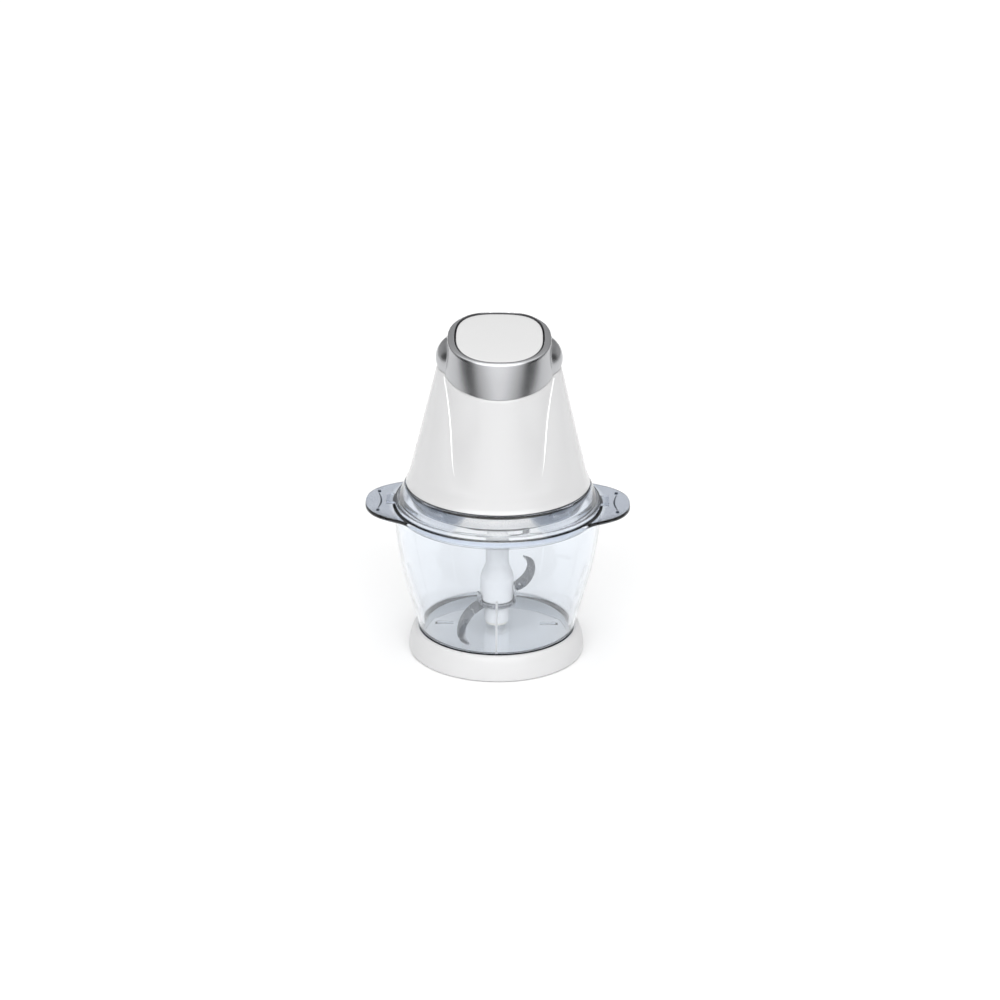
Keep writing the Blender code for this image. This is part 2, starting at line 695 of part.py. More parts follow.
def make_switch():
    """The momentary switch under the button, its spring, and the plate that carries both."""
    centre = (0, BUTTON_SHIFT)
    outline = polar_ring(superellipse(34, 35, 2.4), flat(0), count=28, shift=-1.0)
    hole = [(x, y + BUTTON_SHIFT) for x, y in circle(5.5, SMALL_ROUND)]
    plate("switch_plate", [[(x, y) for x, y, _ in outline], hole], SEAT_Z, SEAT_Z + 2, white_plastic())
    body = box("switch_body", (-10, BUTTON_SHIFT - 7, 209.4), (10, BUTTON_SHIFT + 7, SWITCH_TOP_Z),
               dark_plastic(), bevel=0.6)
    cut(body, cylinder("plunger_bore", 2.8, SWITCH_TOP_Z - 7, SWITCH_TOP_Z + 2, None, at=centre,
                       collection=CUTTERS))
    cylinder("switch_plunger", 2.5, SWITCH_TOP_Z - 2.5, STEM_Z - FIT, nylon(), at=centre)
    underside = SEAM_Z + COLLAR_H - BUTTON_H + TILT * (BUTTON_SHIFT - SPRING_R)
    low, high = SEAT_Z + 2 + FIT + SPRING_WIRE_R, underside - FIT - 2 * SPRING_WIRE_R
    steps = SPRING_TURNS * SPRING_STEPS
    path = []
    for i in range(steps + 1):
        angle = TURN * i / SPRING_STEPS
        path.append((SPRING_R * math.cos(angle), SPRING_R * math.sin(angle) + BUTTON_SHIFT,
                     low + (high - low) * i / steps))
    wire("button_spring", path, SPRING_WIRE_R, steel(), closed=False)


def make_bottom_cover():
    """The cup-shaped cover that closes the housing and sits in the lid's recess."""
    profile = [(66.2, 136.9), (61.4, LID_FLOOR_Z + 0.9), (13.9, LID_FLOOR_Z + 0.9), (13.9, 131.0),
               (16.0, 131.0), (16.0, 124.2), (59.2, 124.2), (63.8, 136.9)]
    cover = turned("bottom_cover", profile, white_plastic())
    for index, degrees in enumerate(BOSS_ANGLES):
        angle = math.radians(degrees)
        at = (BOSS_RING_R * math.cos(angle), BOSS_RING_R * math.sin(angle))
        make_screw(f"housing_screw_{index + 1}", at, 122.3, 125.0, 150.0, 3.0, 1.6)
        cut(cover, cylinder(f"screw_hole_{degrees}", 3.4, 120, 126, None, at=at, collection=CUTTERS))
    tube("output_bush", 10.5, 13.6, 124.5, 130.7, brass(), segments=20)
    tube("housing_gasket", GASKET_R - 2.3, GASKET_R, LID_CREST_Z + 0.2, BODY_Z - 0.2, rubber())


def make_screw(name, at, head_low, head_high, tip, head_r, shank_r):
    """A screw driven in from below, with a flat pan head."""
    profile = [(0, tip), (shank_r, tip), (shank_r, head_high), (head_r, head_high), (head_r, head_low),
               (0, head_low)]
    turned(name, profile, steel(), segments=12, location=(*at, 0))


# ---------------------------------------------------------------- gearbox


def involute(angle):
    return math.tan(angle) - angle


def gear_outline(teeth, addendum, dedendum, thinning, flank_shares=(0, 1)):
    """The outline of an involute gear with a tooth on +X. thinning is taken off each flank, and a
    negative one with the addendum and dedendum swapped gives the hole of a ring gear."""
    pitch_r = MODULE * teeth / 2
    base_r = pitch_r * math.cos(PRESSURE_ANGLE)
    root_r, tip_r = pitch_r - dedendum, pitch_r + addendum
    start_r = max(base_r, root_r)
    flank = []
    for share in flank_shares:
        radius = start_r + (tip_r - start_r) * share
        roll = involute(math.acos(min(base_r / radius, 1)))
        half = TURN / 4 / teeth + involute(PRESSURE_ANGLE) - roll - thinning / pitch_r
        flank.append((radius, half))
    if root_r < base_r:
        flank.insert(0, (root_r, flank[0][1]))
    outline = []
    for tooth in range(teeth):
        centre = TURN * tooth / teeth
        polar = [(r, centre - half) for r, half in flank] + [(r, centre + half) for r, half in flank[::-1]]
        outline += [(r * math.cos(a), r * math.sin(a)) for r, a in polar]
    return outline


def make_gearbox():
    gear_low, gear_high = GEAR_LOW_Z + 0.3, GEAR_HIGH_Z
    sun = gear_outline(SUN_TEETH, ADDENDUM, DEDENDUM, BACKLASH, (0, 0.5, 1))
    plate("sun_pinion", [sun, circle(1.7, 16)], gear_low, gear_high, steel())
    planet = gear_outline(PLANET_TEETH, ADDENDUM, DEDENDUM, BACKLASH)
    for index in range(3):
        angle = TURN * index / 3
        at = (PLANET_ORBIT * math.cos(angle), PLANET_ORBIT * math.sin(angle))
        plate(f"planet_gear_{index + 1}", [planet, circle(PIN_R + 0.15, 12)], gear_low, gear_high, nylon(),
              at=at, turn=angle + TURN / PLANET_TEETH / 2)
    teeth = gear_outline(RING_TEETH, DEDENDUM, ADDENDUM, -BACKLASH)
    plate("ring_gear", [circle(GEARBOX_R, 32), teeth], GEAR_LOW_Z, gear_high, nylon(),
          turn=TURN / RING_TEETH / 2)
    tube("gear_case", 21.5, GEARBOX_R, 124.5, GEAR_LOW_Z - FIT, dark_plastic(), segments=32)
    tube("gear_cover", 4.5, GEARBOX_R, gear_high + FIT, gear_high + 2.3, dark_plastic(), segments=32)
    carrier = cylinder("planet_carrier", 17.4, 131.3, 133.3, nylon(), segments=32)
    for index in range(3):
        angle = TURN * index / 3
        at = (PLANET_ORBIT * math.cos(angle), PLANET_ORBIT * math.sin(angle))
        join(carrier, cylinder(f"pin_{index}", PIN_R, 132.0, gear_high - 0.2, None, at=at, segments=12,
                               collection=CUTTERS))
    socket = cylinder("drive_socket", 10.3, LID_FLOOR_Z + 0.9, 131.0, dark_plastic(), segments=32)
    cut(socket, cylinder("socket_hex", DRIVE_HEX_R + 0.45, 119.0, DRIVE_TOP_Z + 0.4, None, segments=6,
                         collection=CUTTERS))


# ---------------------------------------------------------------- motor


def stator_outlines():
    """The lamination's rounded outer edge, and its bore with a coil slot at the front and back."""
    outer = [(x, y) for x, y, _ in polar_ring(superellipse(29, 26, 4), flat(0), count=32)]
    bore = []
    for i in range(48):
        angle = TURN * i / 48
        in_slot = abs(math.sin(angle)) > 0.72
        radius = 21.6 if in_slot else STATOR_BORE_R
        bore.append((radius * math.cos(angle), radius * math.sin(angle)))
    return [outer, bore]


def armature_outline():
    """Twelve teeth with a narrow winding slot between each two."""
    outline = []
    for slot in range(12):
        centre = TURN * slot / 12
        tooth = [(ARMATURE_R, -11), (ARMATURE_R, 0), (ARMATURE_R, 11)]
        for radius, offset in tooth + [(11.5, 12.5), (11.5, 17.5)]:
            angle = centre + math.radians(offset)
            outline.append((radius * math.cos(angle), radius * math.sin(angle)))
    return outline


def make_stator():
    plate("stator_core", stator_outlines(), STATOR_LOW_Z, STATOR_HIGH_Z, dark_steel())
    for side, label in ((-1, "left"), (1, "right")):
        path = []
        for i in range(24):
            angle = TURN * i / 24
            along = superellipse(18.4, 12.6, 5)(angle)
            y = along * math.cos(angle)
            rise = along * math.sin(angle)
            bulge = 13.5 * max(1 - (y / 16.8) ** 2, 0) ** 0.5
            x = side * (5.8 + bulge)
            path.append((x, y, (STATOR_LOW_Z + STATOR_HIGH_Z) / 2 + rise * 1.12))
        wire(f"field_coil_{label}", path, 2.0, copper(), closed=True)


def make_armature():
    shaft = [(0, SHAFT_TOP_Z), (SHAFT_R - 0.4, SHAFT_TOP_Z), (SHAFT_R, SHAFT_TOP_Z - 0.6),
             (SHAFT_R, GEAR_HIGH_Z + 0.6), (1.4, GEAR_HIGH_Z + 0.6), (1.4, GEAR_LOW_Z + 0.3),
             (0, GEAR_LOW_Z + 0.3)]
    turned("armature_shaft", shaft, steel(), segments=SMALL_ROUND)
    bore = circle(SHAFT_R + 0.2, SMALL_ROUND)
    plate("armature_core", [armature_outline(), bore], STATOR_LOW_Z - 0.5, STATOR_HIGH_Z + 0.5,
          dark_steel())
    bell = SHAFT_R + 0.3
    make_end_turns("lower_end_turns", STATOR_LOW_Z - 0.8, -5.6, bell)
    make_end_turns("upper_end_turns", STATOR_HIGH_Z + 0.8, 6.2, bell)
    tube("commutator", bell, COMMUTATOR_R, COMMUTATOR_LOW_Z, COMMUTATOR_HIGH_Z, copper(), segments=24)
    blades = []
    for index in range(9):
        centre = TURN * index / 9
        for radius, offset in ((5.5, -9), (14.0, -3), (23.5, 9), (23.5, 14), (14.0, 4), (5.5, 6)):
            angle = centre + math.radians(offset)
            blades.append((radius * math.cos(angle), radius * math.sin(angle)))
    plate("cooling_fan", [blades, bore], 149.6, 155.4, dark_plastic())


def make_end_turns(name, start, rise, bore):
    """The dome of wire at one end of the armature."""
    low, high = sorted((start, start + rise))
    wide, narrow = (low, high) if rise > 0 else (high, low)
    corner = 0.55 * (wide - narrow)
    if rise > 0:
        profile = [(9.5, high), (12.4, high + corner), (12.9, low), (bore, low), (bore, high)]
    else:
        profile = [(bore, high), (12.9, high), (12.4, low + corner), (9.5, low), (bore, low)]
    turned(name, profile, copper(), segments=24)


def make_motor_frame():
    """The two brackets that hold the bearings and clamp the stator, and the brush gear."""
    bearing_in, seat = SHAFT_R + 0.06, BEARING_R + FIT
    plate_z = GEAR_HIGH_Z + 2.6
    lower = [(9.5, 149.0), (9.5, 145.6), (30.0, 145.6), (30.0, plate_z), (seat, plate_z), (seat, 149.0)]
    turned("lower_bracket", lower, dark_steel(), segments=28)
    tube("lower_bearing", bearing_in, BEARING_R, 144.0, 148.7, brass(), segments=20)
    tube("upper_bearing", bearing_in, BEARING_R, 203.4, 208.0, brass(), segments=20)
    bridge = box("upper_bracket", (-29, -9.5, 203.0), (29, 9.5, 206.0), dark_steel())
    for side in (-1, 1):
        join(bridge, box(f"leg_{side}", (side * 26.5 - 2.5, -9.5, STATOR_HIGH_Z + FIT),
                         (side * 26.5 + 2.5, 9.5, 204.0), None, CUTTERS))
    join(bridge, cylinder("bearing_cup", 9.5, 202.6, 208.4, None, collection=CUTTERS))
    cut(bridge, cylinder("bearing_seat", seat, 200.0, 210.0, None, collection=CUTTERS))
    for side, label in ((-1, "front"), (1, "back")):
        low_y, high_y = sorted((side * 10.6, side * 24.0))
        case = box(f"brush_holder_{label}", (-4.2, low_y, 192.2), (4.2, high_y, 199.8), brass())
        cut(case, box(f"brush_slot_{label}", (-3.0, low_y - 1, 193.4), (3.0, high_y + 1, 198.6), None,
                      CUTTERS))
        low_y, high_y = sorted((side * (COMMUTATOR_R + FIT), side * 22.0))
        box(f"carbon_brush_{label}", (-2.7, low_y, 193.7), (2.7, high_y, 198.3), dark_plastic())
    box("suppression_capacitor", (-9, -44, 172), (9, -35, 188), dark_plastic(), bevel=0.8)


clear_scene()
PARTS = new_collection("mini_chopper")
CUTTERS = new_collection("mini_chopper_cutters")
make_foot()
make_bowl()
make_lid()
make_hub()
make_blades()
make_housing()
make_collar()
make_button()
make_switch()
make_bottom_cover()
make_gearbox()
make_stator()
make_armature()
make_motor_frame()
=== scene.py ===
"""Looks of the mini chopper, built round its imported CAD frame.

Sizes are in millimetres and MM turns them into metres. The driving ones come from the boxes of
the CAD nodes. The Z axis is the blade's axis and the front is -Y.
"""

import json
from math import atan2, cos, exp, hypot, pi, radians, sin, sqrt

import bmesh
import bpy
from mathutils import Matrix, Vector


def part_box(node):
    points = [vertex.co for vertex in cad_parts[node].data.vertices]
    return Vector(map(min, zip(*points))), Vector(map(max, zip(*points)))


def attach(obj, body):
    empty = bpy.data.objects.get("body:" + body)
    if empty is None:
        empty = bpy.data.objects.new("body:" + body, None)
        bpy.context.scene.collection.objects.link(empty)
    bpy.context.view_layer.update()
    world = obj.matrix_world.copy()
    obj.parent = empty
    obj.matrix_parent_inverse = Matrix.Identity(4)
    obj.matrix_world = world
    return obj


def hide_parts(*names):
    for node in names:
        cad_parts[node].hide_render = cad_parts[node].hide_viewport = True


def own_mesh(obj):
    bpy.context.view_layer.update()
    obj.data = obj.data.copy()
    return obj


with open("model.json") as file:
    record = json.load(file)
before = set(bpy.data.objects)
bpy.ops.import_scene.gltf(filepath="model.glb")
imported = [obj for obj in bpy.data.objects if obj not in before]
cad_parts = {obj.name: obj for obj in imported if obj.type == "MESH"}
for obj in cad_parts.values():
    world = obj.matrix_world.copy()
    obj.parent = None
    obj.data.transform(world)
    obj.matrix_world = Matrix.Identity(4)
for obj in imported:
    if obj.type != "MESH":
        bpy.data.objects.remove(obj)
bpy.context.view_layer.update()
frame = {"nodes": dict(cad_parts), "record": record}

MM = 0.001
TURN = 2 * pi
FIT = 0.3
FINE = 144  # points round a large piece
MEDIUM = 72  # points round a small piece


# ---- sizes from the frame


def low(node):
    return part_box(node)[0] / MM


def high(node):
    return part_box(node)[1] / MM


FOOT_R = high("foot").x
FOOT_H = high("foot").z
GRIP_R = high("grip_ring").x
BOWL_SKIRT_Z = low("bowl").z
RIM_TOP_Z = high("bowl").z
RIM_INSET = 1.2  # the visible rim is this much narrower than the CAD one
RIM_R = high("bowl").y - RIM_INSET
HANDLE_REACH = high("bowl").x
LID_CREST_Z = high("lid").z
LID_R = high("lid").y
LID_SKIRT_Z = low("lid").z
TAB_REACH = high("lid").x
# The clearance above the dark ring of painted shade under the housing's edge.
GAP_SHADE_CLEARANCE = 0.2
BODY_Z = high("housing_gasket").z + GAP_SHADE_CLEARANCE  # the wall's foot; the node's screw bosses reach lower
COVER_Z = low("bottom_cover").z
COVER_TOP_Z = high("bottom_cover").z
COVER_R = high("bottom_cover").x
HUB_R = high("blade_hub").x
HUB_BASE_Z = low("blade_hub").z
DRIVE_TOP_Z = high("blade_hub").z
SPINDLE_TOP_Z = high("bowl_spindle").z
EAR_REACH = high("collar").x

# ---- sizes that shape the pieces

FLOOR_Z = 19.0
FOOT_SHADE_Z = FOOT_H + 1.2  # painted shade darkens the front of the bowl's outer wall up to here
FLOOR_T = 2.5
WALL = 2.5
BOWL_FOOT_R = 59.0
BOWL_WALL = [(59.3, 19.0), (59.8, 22.0), (64.9, 41.3), (69.2, 57.0), (72.5, 70.7), (75.0, 84.0)]
BOWL_WALL += [(76.8, 97.0), (78.3, 112.0)]
RIM_T = 3.2
HANDLE_HALF_W = 49.5
HANDLE_POWER = 2.6
HANDLE_T = 2.2
RIB_T = 1.6
RIB_DEPTH = 2.2
RIB_TOP_Z = 69.0
RIDGE_IN, RIDGE_OUT = 33.0, 47.0
MARK_X = 90.0  # the mark on each handle
MARK_H = 0.8
STROKE_HALF_L = 14
STROKE_BOW = 2.0
STROKE_R = 0.35  # at its ends, and twice that in its middle
DOT_R = 1.3
DOT_Y = 18.5
FOOT_MOUTH_R = 59.9
FOOT_FLOOR_Z = 6.0
GRIP_W = 3.0
SPINDLE_R = 3.0

LID_SEAT_Z = 119.8
LID_RIM_Z = 123.1
LID_FLOOR_Z = 121.0
LID_HOLE_R = 12.5
LID_SKIRT_R = 73.6
# The front patch of painted highlight on the lid's slope: its half-width and its widening.
HIGHLIGHT_HALF_W = 21.4  # at the crest
HIGHLIGHT_SPREAD = 0.88  # for each millimetre down the slope
LUG_BEARINGS = (-131, -49, 49, 131)
LUG_SWEEP = 0.22  # radians
LUG_H = 2.0
LUG_R, LUG_Z = 71.4, 132.6
TAB_IN = 76
TAB_HALF_W = 8
TAB_Z, TAB_TOP_Z = 120.2, 122.2
LEDGE_FROM, LEDGE_SWEEP = 32, 26  # degrees from the front
LEDGE_R, LEDGE_Z = 70.4, 135.0
LEDGE_HALF_T = 0.5
HOOK_OUT, HOOK_DROP = 0.9, 1.8
HOOK_SHARE = 0.2  # of the ledge's length

NECK_R = 8.75
NECK_Z = 72.0
HUB_LOW_R = 9.4
HUB_STEP_Z = 40.6
HUB_TOP_Z = 116.0
DRIVE_HEX_R = 6.5
BUSH_R = 5.0
BLADE_T = 1.2
RING_IN, RING_R = HUB_LOW_R + 0.4, 14.2
LOWER_RING_Z = 37.6
UPPER_RING_Z = 39.1
LOWER_TIP_Z = 23.5
UPPER_ROOT_Z = 50.0
UPPER_TIP_Z = 56.0
BLADE_HOLE_R = 1.5
LOWER_HOLE = (-18.5, -9.0)
UPPER_HOLE = (17.6, 2.5)
BEVEL_W = 2.0
EDGE_T = 0.15
TAB_TURN = radians(20)
WING_OUTER = [(12.0, -5.0), (30.0, -2.0), (36.0, 52.0), (20.7, 46.8)]  # curves in plan, towards +X
WING_INNER = [(7.5, 9.0), (20.0, 13.5), (28.0, 34.0), (20.0, 45.2)]

SEAM_Z = 229.0
TILT = 0.174
SEAM_TILT = 0.235
SEAM_R = 46.2
CONE_SLOPE = 0.2405
LOBE_R = 14.6
LOBE_GROWTH = 0.646
OVAL_X = 41.9
OVAL_TAPER = 0.104  # for each millimetre below the seam
OVAL_SPREAD = 0.0045  # and for its square
CREASE_TOP = 0.985  # shares of the housing's height
CREASE_LENGTH = 0.694
BEAD_R = 0.75
SHELL = 2.5
COLLAR_H = 21.0
COLLAR_WALL = 2.2
COLLAR_TOP_X, COLLAR_TOP_Y = 38.5, 39.0
COLLAR_TOP_SHIFT = 2.2
EAR_DEPTH = 14.2
EAR_MIDDLE, EAR_HALF_H = 0.3, 0.66  # shares of the collar's height
BOSS_RING_R = 50.0
BOSS_ANGLES = (30, 150, 270)
GLAND_Z = 153.0

BUTTON_X, BUTTON_Y = 32.7, 36.2
BUTTON_SHIFT = 3.1
BUTTON_POWER = 2.9
FRONT_POWER = 2.35
BUTTON_GAP = 0.9
BUTTON_H = 9.0
BUTTON_CROWN = 0.3
BUTTON_FALL = 0.78  # from the middle of its top to the start of its edge
BUTTON_TOP_SHARE = 0.93
STEM_R = 3.5
STEM_Z = 224.8
SPRING_WIRE_R = 0.5
SPRING_TURNS = 4
SPRING_STEPS = 18  # points in each turn

# Studio. The brightness at each bearing from the front, in degrees, near the horizon and halfway up.
HORIZON = ((0, 0.82), (18, 0.74), (38, 0.55), (52, 0.03), (84, 0.03), (100, 0.45), (130, 0.55),
           (150, 0.35), (180, 0.3))
HALFWAY = ((0, 3.2), (40, 3.2), (52, 0.6), (80, 0.4), (100, 0.3), (125, 0.35), (150, 0.45),
           (180, 0.45))
HORIZON_TOP = (22, 29)  # the elevations between which one gives way to the other
HALFWAY_TOP = (48, 60)  # and between which that gives way to the overhead light
OVERHEAD = 1.55


# ---- material nodes


def shader_of(name):
    """A new material with a Principled shader. Returns the material, its nodes, its link function
    and the shader."""
    made = bpy.data.materials.new(name)
    made.use_nodes = True
    nodes = made.node_tree.nodes
    return made, nodes, made.node_tree.links.new, nodes["Principled BSDF"]


def noise(nodes, link, scale, detail=3.0, stretch=(1, 1, 1)):
    """Noise in object space. scale is in features per metre."""
    place = nodes.new("ShaderNodeTexCoord")
    mapping = nodes.new("ShaderNodeMapping")
    mapping.inputs["Scale"].default_value = stretch
    texture = nodes.new("ShaderNodeTexNoise")
    texture.inputs["Scale"].default_value = scale
    texture.inputs["Detail"].default_value = detail
    link(place.outputs["Object"], mapping.inputs["Vector"])
    link(mapping.outputs["Vector"], texture.inputs["Vector"])
    return texture.outputs["Fac"]


def mapped(nodes, link, value, low_value, high_value):
    """Noise, which mostly lies between 0.3 and 0.7, brought to another range."""
    node = nodes.new("ShaderNodeMapRange")
    node.inputs["From Min"].default_value = 0.3
    node.inputs["From Max"].default_value = 0.7
    node.inputs["To Min"].default_value = low_value
    node.inputs["To Max"].default_value = high_value
    link(value, node.inputs["Value"])
    return node.outputs["Result"]


def eased(nodes, link, value, low_value, high_value):
    """Rises smoothly from 0 to 1 as a value runs from one level to another."""
    node = nodes.new("ShaderNodeMapRange")
    node.interpolation_type = "SMOOTHSTEP"
    node.inputs["From Min"].default_value = low_value
    node.inputs["From Max"].default_value = high_value
    link(value, node.inputs["Value"])
    return node.outputs["Result"]


def worked_out(nodes, link, operation, *values):
    """A math node's result. Each value is a number or another node's output."""
    node = nodes.new("ShaderNodeMath")
    node.operation = operation
    for socket, value in zip(node.inputs, values):
        if isinstance(value, (int, float)):
            socket.default_value = value
        else:
            link(value, socket)
    return node.outputs[0]


def mixed(nodes, link, share, before, after):
    """One colour turning into another. Each is a tuple or another node's output."""
    mix = nodes.new("ShaderNodeMix")
    mix.data_type = "RGBA"
    link(share, mix.inputs[0])
    for socket, colour in ((mix.inputs[6], before), (mix.inputs[7], after)):
        if isinstance(colour, tuple):
            socket.default_value = (*colour, 1)
        else:
            link(colour, socket)
    return mix.outputs[2]


def bump(nodes, link, shader, value, depth_mm, strength=1.0):
    node = nodes.new("ShaderNodeBump")
    node.inputs["Distance"].default_value = depth_mm * MM
    node.inputs["Strength"].default_value = strength
    link(value, node.inputs["Height"])
    link(node.outputs["Normal"], shader.inputs["Normal"])


def tinted(nodes, link, shader, value, colour, share):
    """Varies the base colour a little, darker by share at most."""
    darker = tuple(c * (1 - share) for c in colour)
    link(mixed(nodes, link, value, darker, colour), shader.inputs["Base Color"])


def plastic(name, colour, rough=(0.22, 0.3), grain=900, depth_mm=0.01, coat=0.0, subsurface=0.0):
    """Moulded plastic: a faint texture in its gloss, its colour and its surface."""
    made, nodes, link, shader = shader_of(name)
    fine = noise(nodes, link, grain)
    broad = noise(nodes, link, 25, detail=2)
    link(mapped(nodes, link, broad, *rough), shader.inputs["Roughness"])
    tinted(nodes, link, shader, broad, colour, 0.012)
    bump(nodes, link, shader, fine, depth_mm, 0.25)
    shader.inputs["Coat Weight"].default_value = coat
    shader.inputs["Coat Roughness"].default_value = 0.12
    shader.inputs["Subsurface Weight"].default_value = subsurface
    shader.inputs["Subsurface Radius"].default_value = (0.004, 0.004, 0.0035)
    return made


def metal(name, colour, rough=(0.2, 0.3), stretch=(1, 1, 1), grain=600, depth_mm=0.01, share=0.12):
    """Bare metal with brush lines along the axes where stretch is small."""
    made, nodes, link, shader = shader_of(name)
    lines = noise(nodes, link, grain, 4.0, stretch)
    link(mapped(nodes, link, lines, *rough), shader.inputs["Roughness"])
    tinted(nodes, link, shader, lines, colour, share)
    bump(nodes, link, shader, lines, depth_mm, 0.3)
    shader.inputs["Metallic"].default_value = 1.0
    return made


def clear_plastic(name, tint, shade, rough=(0.02, 0.05)):
    """Clear styrene. Light casts through it, tinted by shade, and the eye sees it refract. Returns
    the material, its nodes, its link function, its shader and its point in object space."""
    made, nodes, link, shader = shader_of(name)
    shader.inputs["Base Color"].default_value = (*tint, 1)
    shader.inputs["Transmission Weight"].default_value = 1.0
    shader.inputs["IOR"].default_value = 1.49
    broad = noise(nodes, link, 30, detail=2)
    link(mapped(nodes, link, broad, *rough), shader.inputs["Roughness"])
    bump(nodes, link, shader, broad, 0.05, 0.1)
    through = nodes.new("ShaderNodeBsdfTransparent")
    through.inputs["Color"].default_value = (*shade, 1)
    path = nodes.new("ShaderNodeLightPath")
    mix = nodes.new("ShaderNodeMixShader")
    link(path.outputs["Is Shadow Ray"], mix.inputs["Fac"])
    link(shader.outputs["BSDF"], mix.inputs[1])
    link(through.outputs["BSDF"], mix.inputs[2])
    link(mix.outputs["Shader"], nodes["Material Output"].inputs["Surface"])
    place = nodes.new("ShaderNodeTexCoord")
    axes = nodes.new("ShaderNodeSeparateXYZ")
    link(place.outputs["Object"], axes.inputs["Vector"])
    return made, nodes, link, shader, axes.outputs


def clear_bowl(tint, foot_shade, rim, handle):
    """The bowl's plastic. Its tint deepens in the rim and again out on the handles. At the front of the outer
    wall, where it meets the foot, it turns dark: painted shade."""
    made, nodes, link, shader, at = clear_plastic("bowl_clear", tint, (1.0, 1.0, 1.0))
    plan = nodes.new("ShaderNodeCombineXYZ")
    link(at["X"], plan.inputs["X"])
    link(at["Y"], plan.inputs["Y"])
    reach = nodes.new("ShaderNodeVectorMath")
    reach.operation = "LENGTH"
    link(plan.outputs["Vector"], reach.inputs[0])
    underside = RIM_TOP_Z - RIM_T
    colour = deepened(nodes, link, at["Z"], (FOOT_SHADE_Z - 0.3, FOOT_SHADE_Z + 0.3), foot_shade, tint)
    colour = deepened(nodes, link, at["Y"], (-14, -2), colour, tint)
    outer = (BOWL_FOOT_R - 1.3, BOWL_FOOT_R - 1)
    colour = deepened(nodes, link, reach.outputs["Value"], outer, tint, colour)
    colour = deepened(nodes, link, at["Z"], (underside - 3, underside + 1), colour, rim)
    colour = deepened(nodes, link, reach.outputs["Value"], (RIM_R + 1, RIM_R + 4), colour, handle)
    link(colour, shader.inputs["Base Color"])
    return made


def clear_lid(tint, front_highlight):
    """The lid's plastic, paler at the front of its slope in a patch that widens downwards: a painted
    highlight.
    """
    made, nodes, link, shader, at = clear_plastic("lid_clear", tint, (0.99, 0.995, 1.0), (0.05, 0.08))
    aside = worked_out(nodes, link, "ABSOLUTE", at["X"])
    spread = worked_out(nodes, link, "MULTIPLY_ADD", at["Z"], HIGHLIGHT_SPREAD, aside)
    edge = HIGHLIGHT_HALF_W + HIGHLIGHT_SPREAD * LID_CREST_Z
    colour = deepened(nodes, link, spread, (edge - 0.4, edge + 0.4), front_highlight, tint)
    colour = deepened(nodes, link, at["Y"], (-2, 2), colour, tint)
    link(colour, shader.inputs["Base Color"])
    return made


def deepened(nodes, link, length, span, before, after):
    """A colour that turns into another as a length runs over a span in millimetres."""
    return mixed(nodes, link, eased(nodes, link, length, span[0] * MM, span[1] * MM), before, after)


def windings(name):
    """Enamelled copper wire: fine dark lines between the turns."""
    made, nodes, link, shader = shader_of(name)
    place = nodes.new("ShaderNodeTexCoord")
    wave = nodes.new("ShaderNodeTexWave")
    wave.bands_direction = "Z"
    wave.inputs["Scale"].default_value = 900
    wave.inputs["Distortion"].default_value = 1.5
    link(place.outputs["Object"], wave.inputs["Vector"])
    tinted(nodes, link, shader, wave.outputs["Fac"], (0.62, 0.27, 0.12), 0.5)
    bump(nodes, link, shader, wave.outputs["Fac"], 0.15, 0.6)
    shader.inputs["Metallic"].default_value = 0.85
    shader.inputs["Roughness"].default_value = 0.38
    return made


# ---- shapes


def finished(name, made, look, body=None, nodes=()):
    """Makes the piece of a bmesh: it rides on its body and stands for its CAD nodes."""
    bmesh.ops.remove_doubles(made, verts=made.verts, dist=1e-7)
    bmesh.ops.recalc_face_normals(made, faces=made.faces)
    mesh = bpy.data.meshes.new(name)
    made.to_mesh(mesh)
    made.free()
    mesh.shade_smooth()
    mesh.set_sharp_from_angle(angle=radians(40))
    obj = bpy.data.objects.new(name, mesh)
    bpy.context.scene.collection.objects.link(obj)
    if look:
        mesh.materials.append(look)
    if body:
        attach(obj, body)
    if nodes:
        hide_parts(*nodes)
    return obj


def loft(name, rings, look=None, body=None, nodes=(), closed=False):
    """A skin over rings of equal count. A closed one joins its last ring to its first, and an
    open one has a flat cap on each end."""
    made = bmesh.new()
    loops = [[made.verts.new(Vector(point) * MM) for point in ring] for ring in rings]
    count = len(loops[0])
    pairs = list(zip(loops, loops[1:] + loops[:1]))
    for under, over in pairs if closed else pairs[:-1]:
        for i in range(count):
            j = (i + 1) % count
            made.faces.new((under[i], under[j], over[j], over[i]))
    if not closed:
        for ring in (loops[0], loops[-1]):
            cap(made, ring)
    return finished(name, made, look, body, nodes)


def cap(made, ring):
    """Closes a ring with a fan about its middle."""
    middle = made.verts.new(sum((v.co for v in ring), Vector()) / len(ring))
    for i, vert in enumerate(ring):
        made.faces.new((vert, ring[(i + 1) % len(ring)], middle))


def rounded(points, radius, closed=True, steps=3):
    """The same outline with each corner off the axis eased by an arc of about this radius."""
    out = []
    count = len(points)
    for i, point in enumerate(points):
        ends = not closed and i in (0, count - 1)
        if ends or point[0] == 0:
            out.append(point)
            continue
        corner = Vector(point)
        before = Vector(points[i - 1]) - corner
        after = Vector(points[(i + 1) % count]) - corner
        start = corner + before.normalized() * min(radius, before.length * 0.45)
        end = corner + after.normalized() * min(radius, after.length * 0.45)
        for step in range(steps + 1):
            t = step / steps
            out.append(tuple(start * (1 - t) ** 2 + corner * 2 * t * (1 - t) + end * t * t))
    return out


def smooth_curve(points, steps):
    """A curve through all the points, with this many steps between each two."""
    out = []
    for i in range(len(points) - 1):
        p = [Vector(points[max(min(j, len(points) - 1), 0)]) for j in range(i - 1, i + 3)]
        for step in range(steps):
            t = step / steps
            out.append(tuple(0.5 * (2 * p[1] + (p[2] - p[0]) * t
                                    + (2 * p[0] - 5 * p[1] + 4 * p[2] - p[3]) * t * t
                                    + (3 * p[1] - p[0] - 3 * p[2] + p[3]) * t ** 3)))
    return out + [tuple(points[-1])]


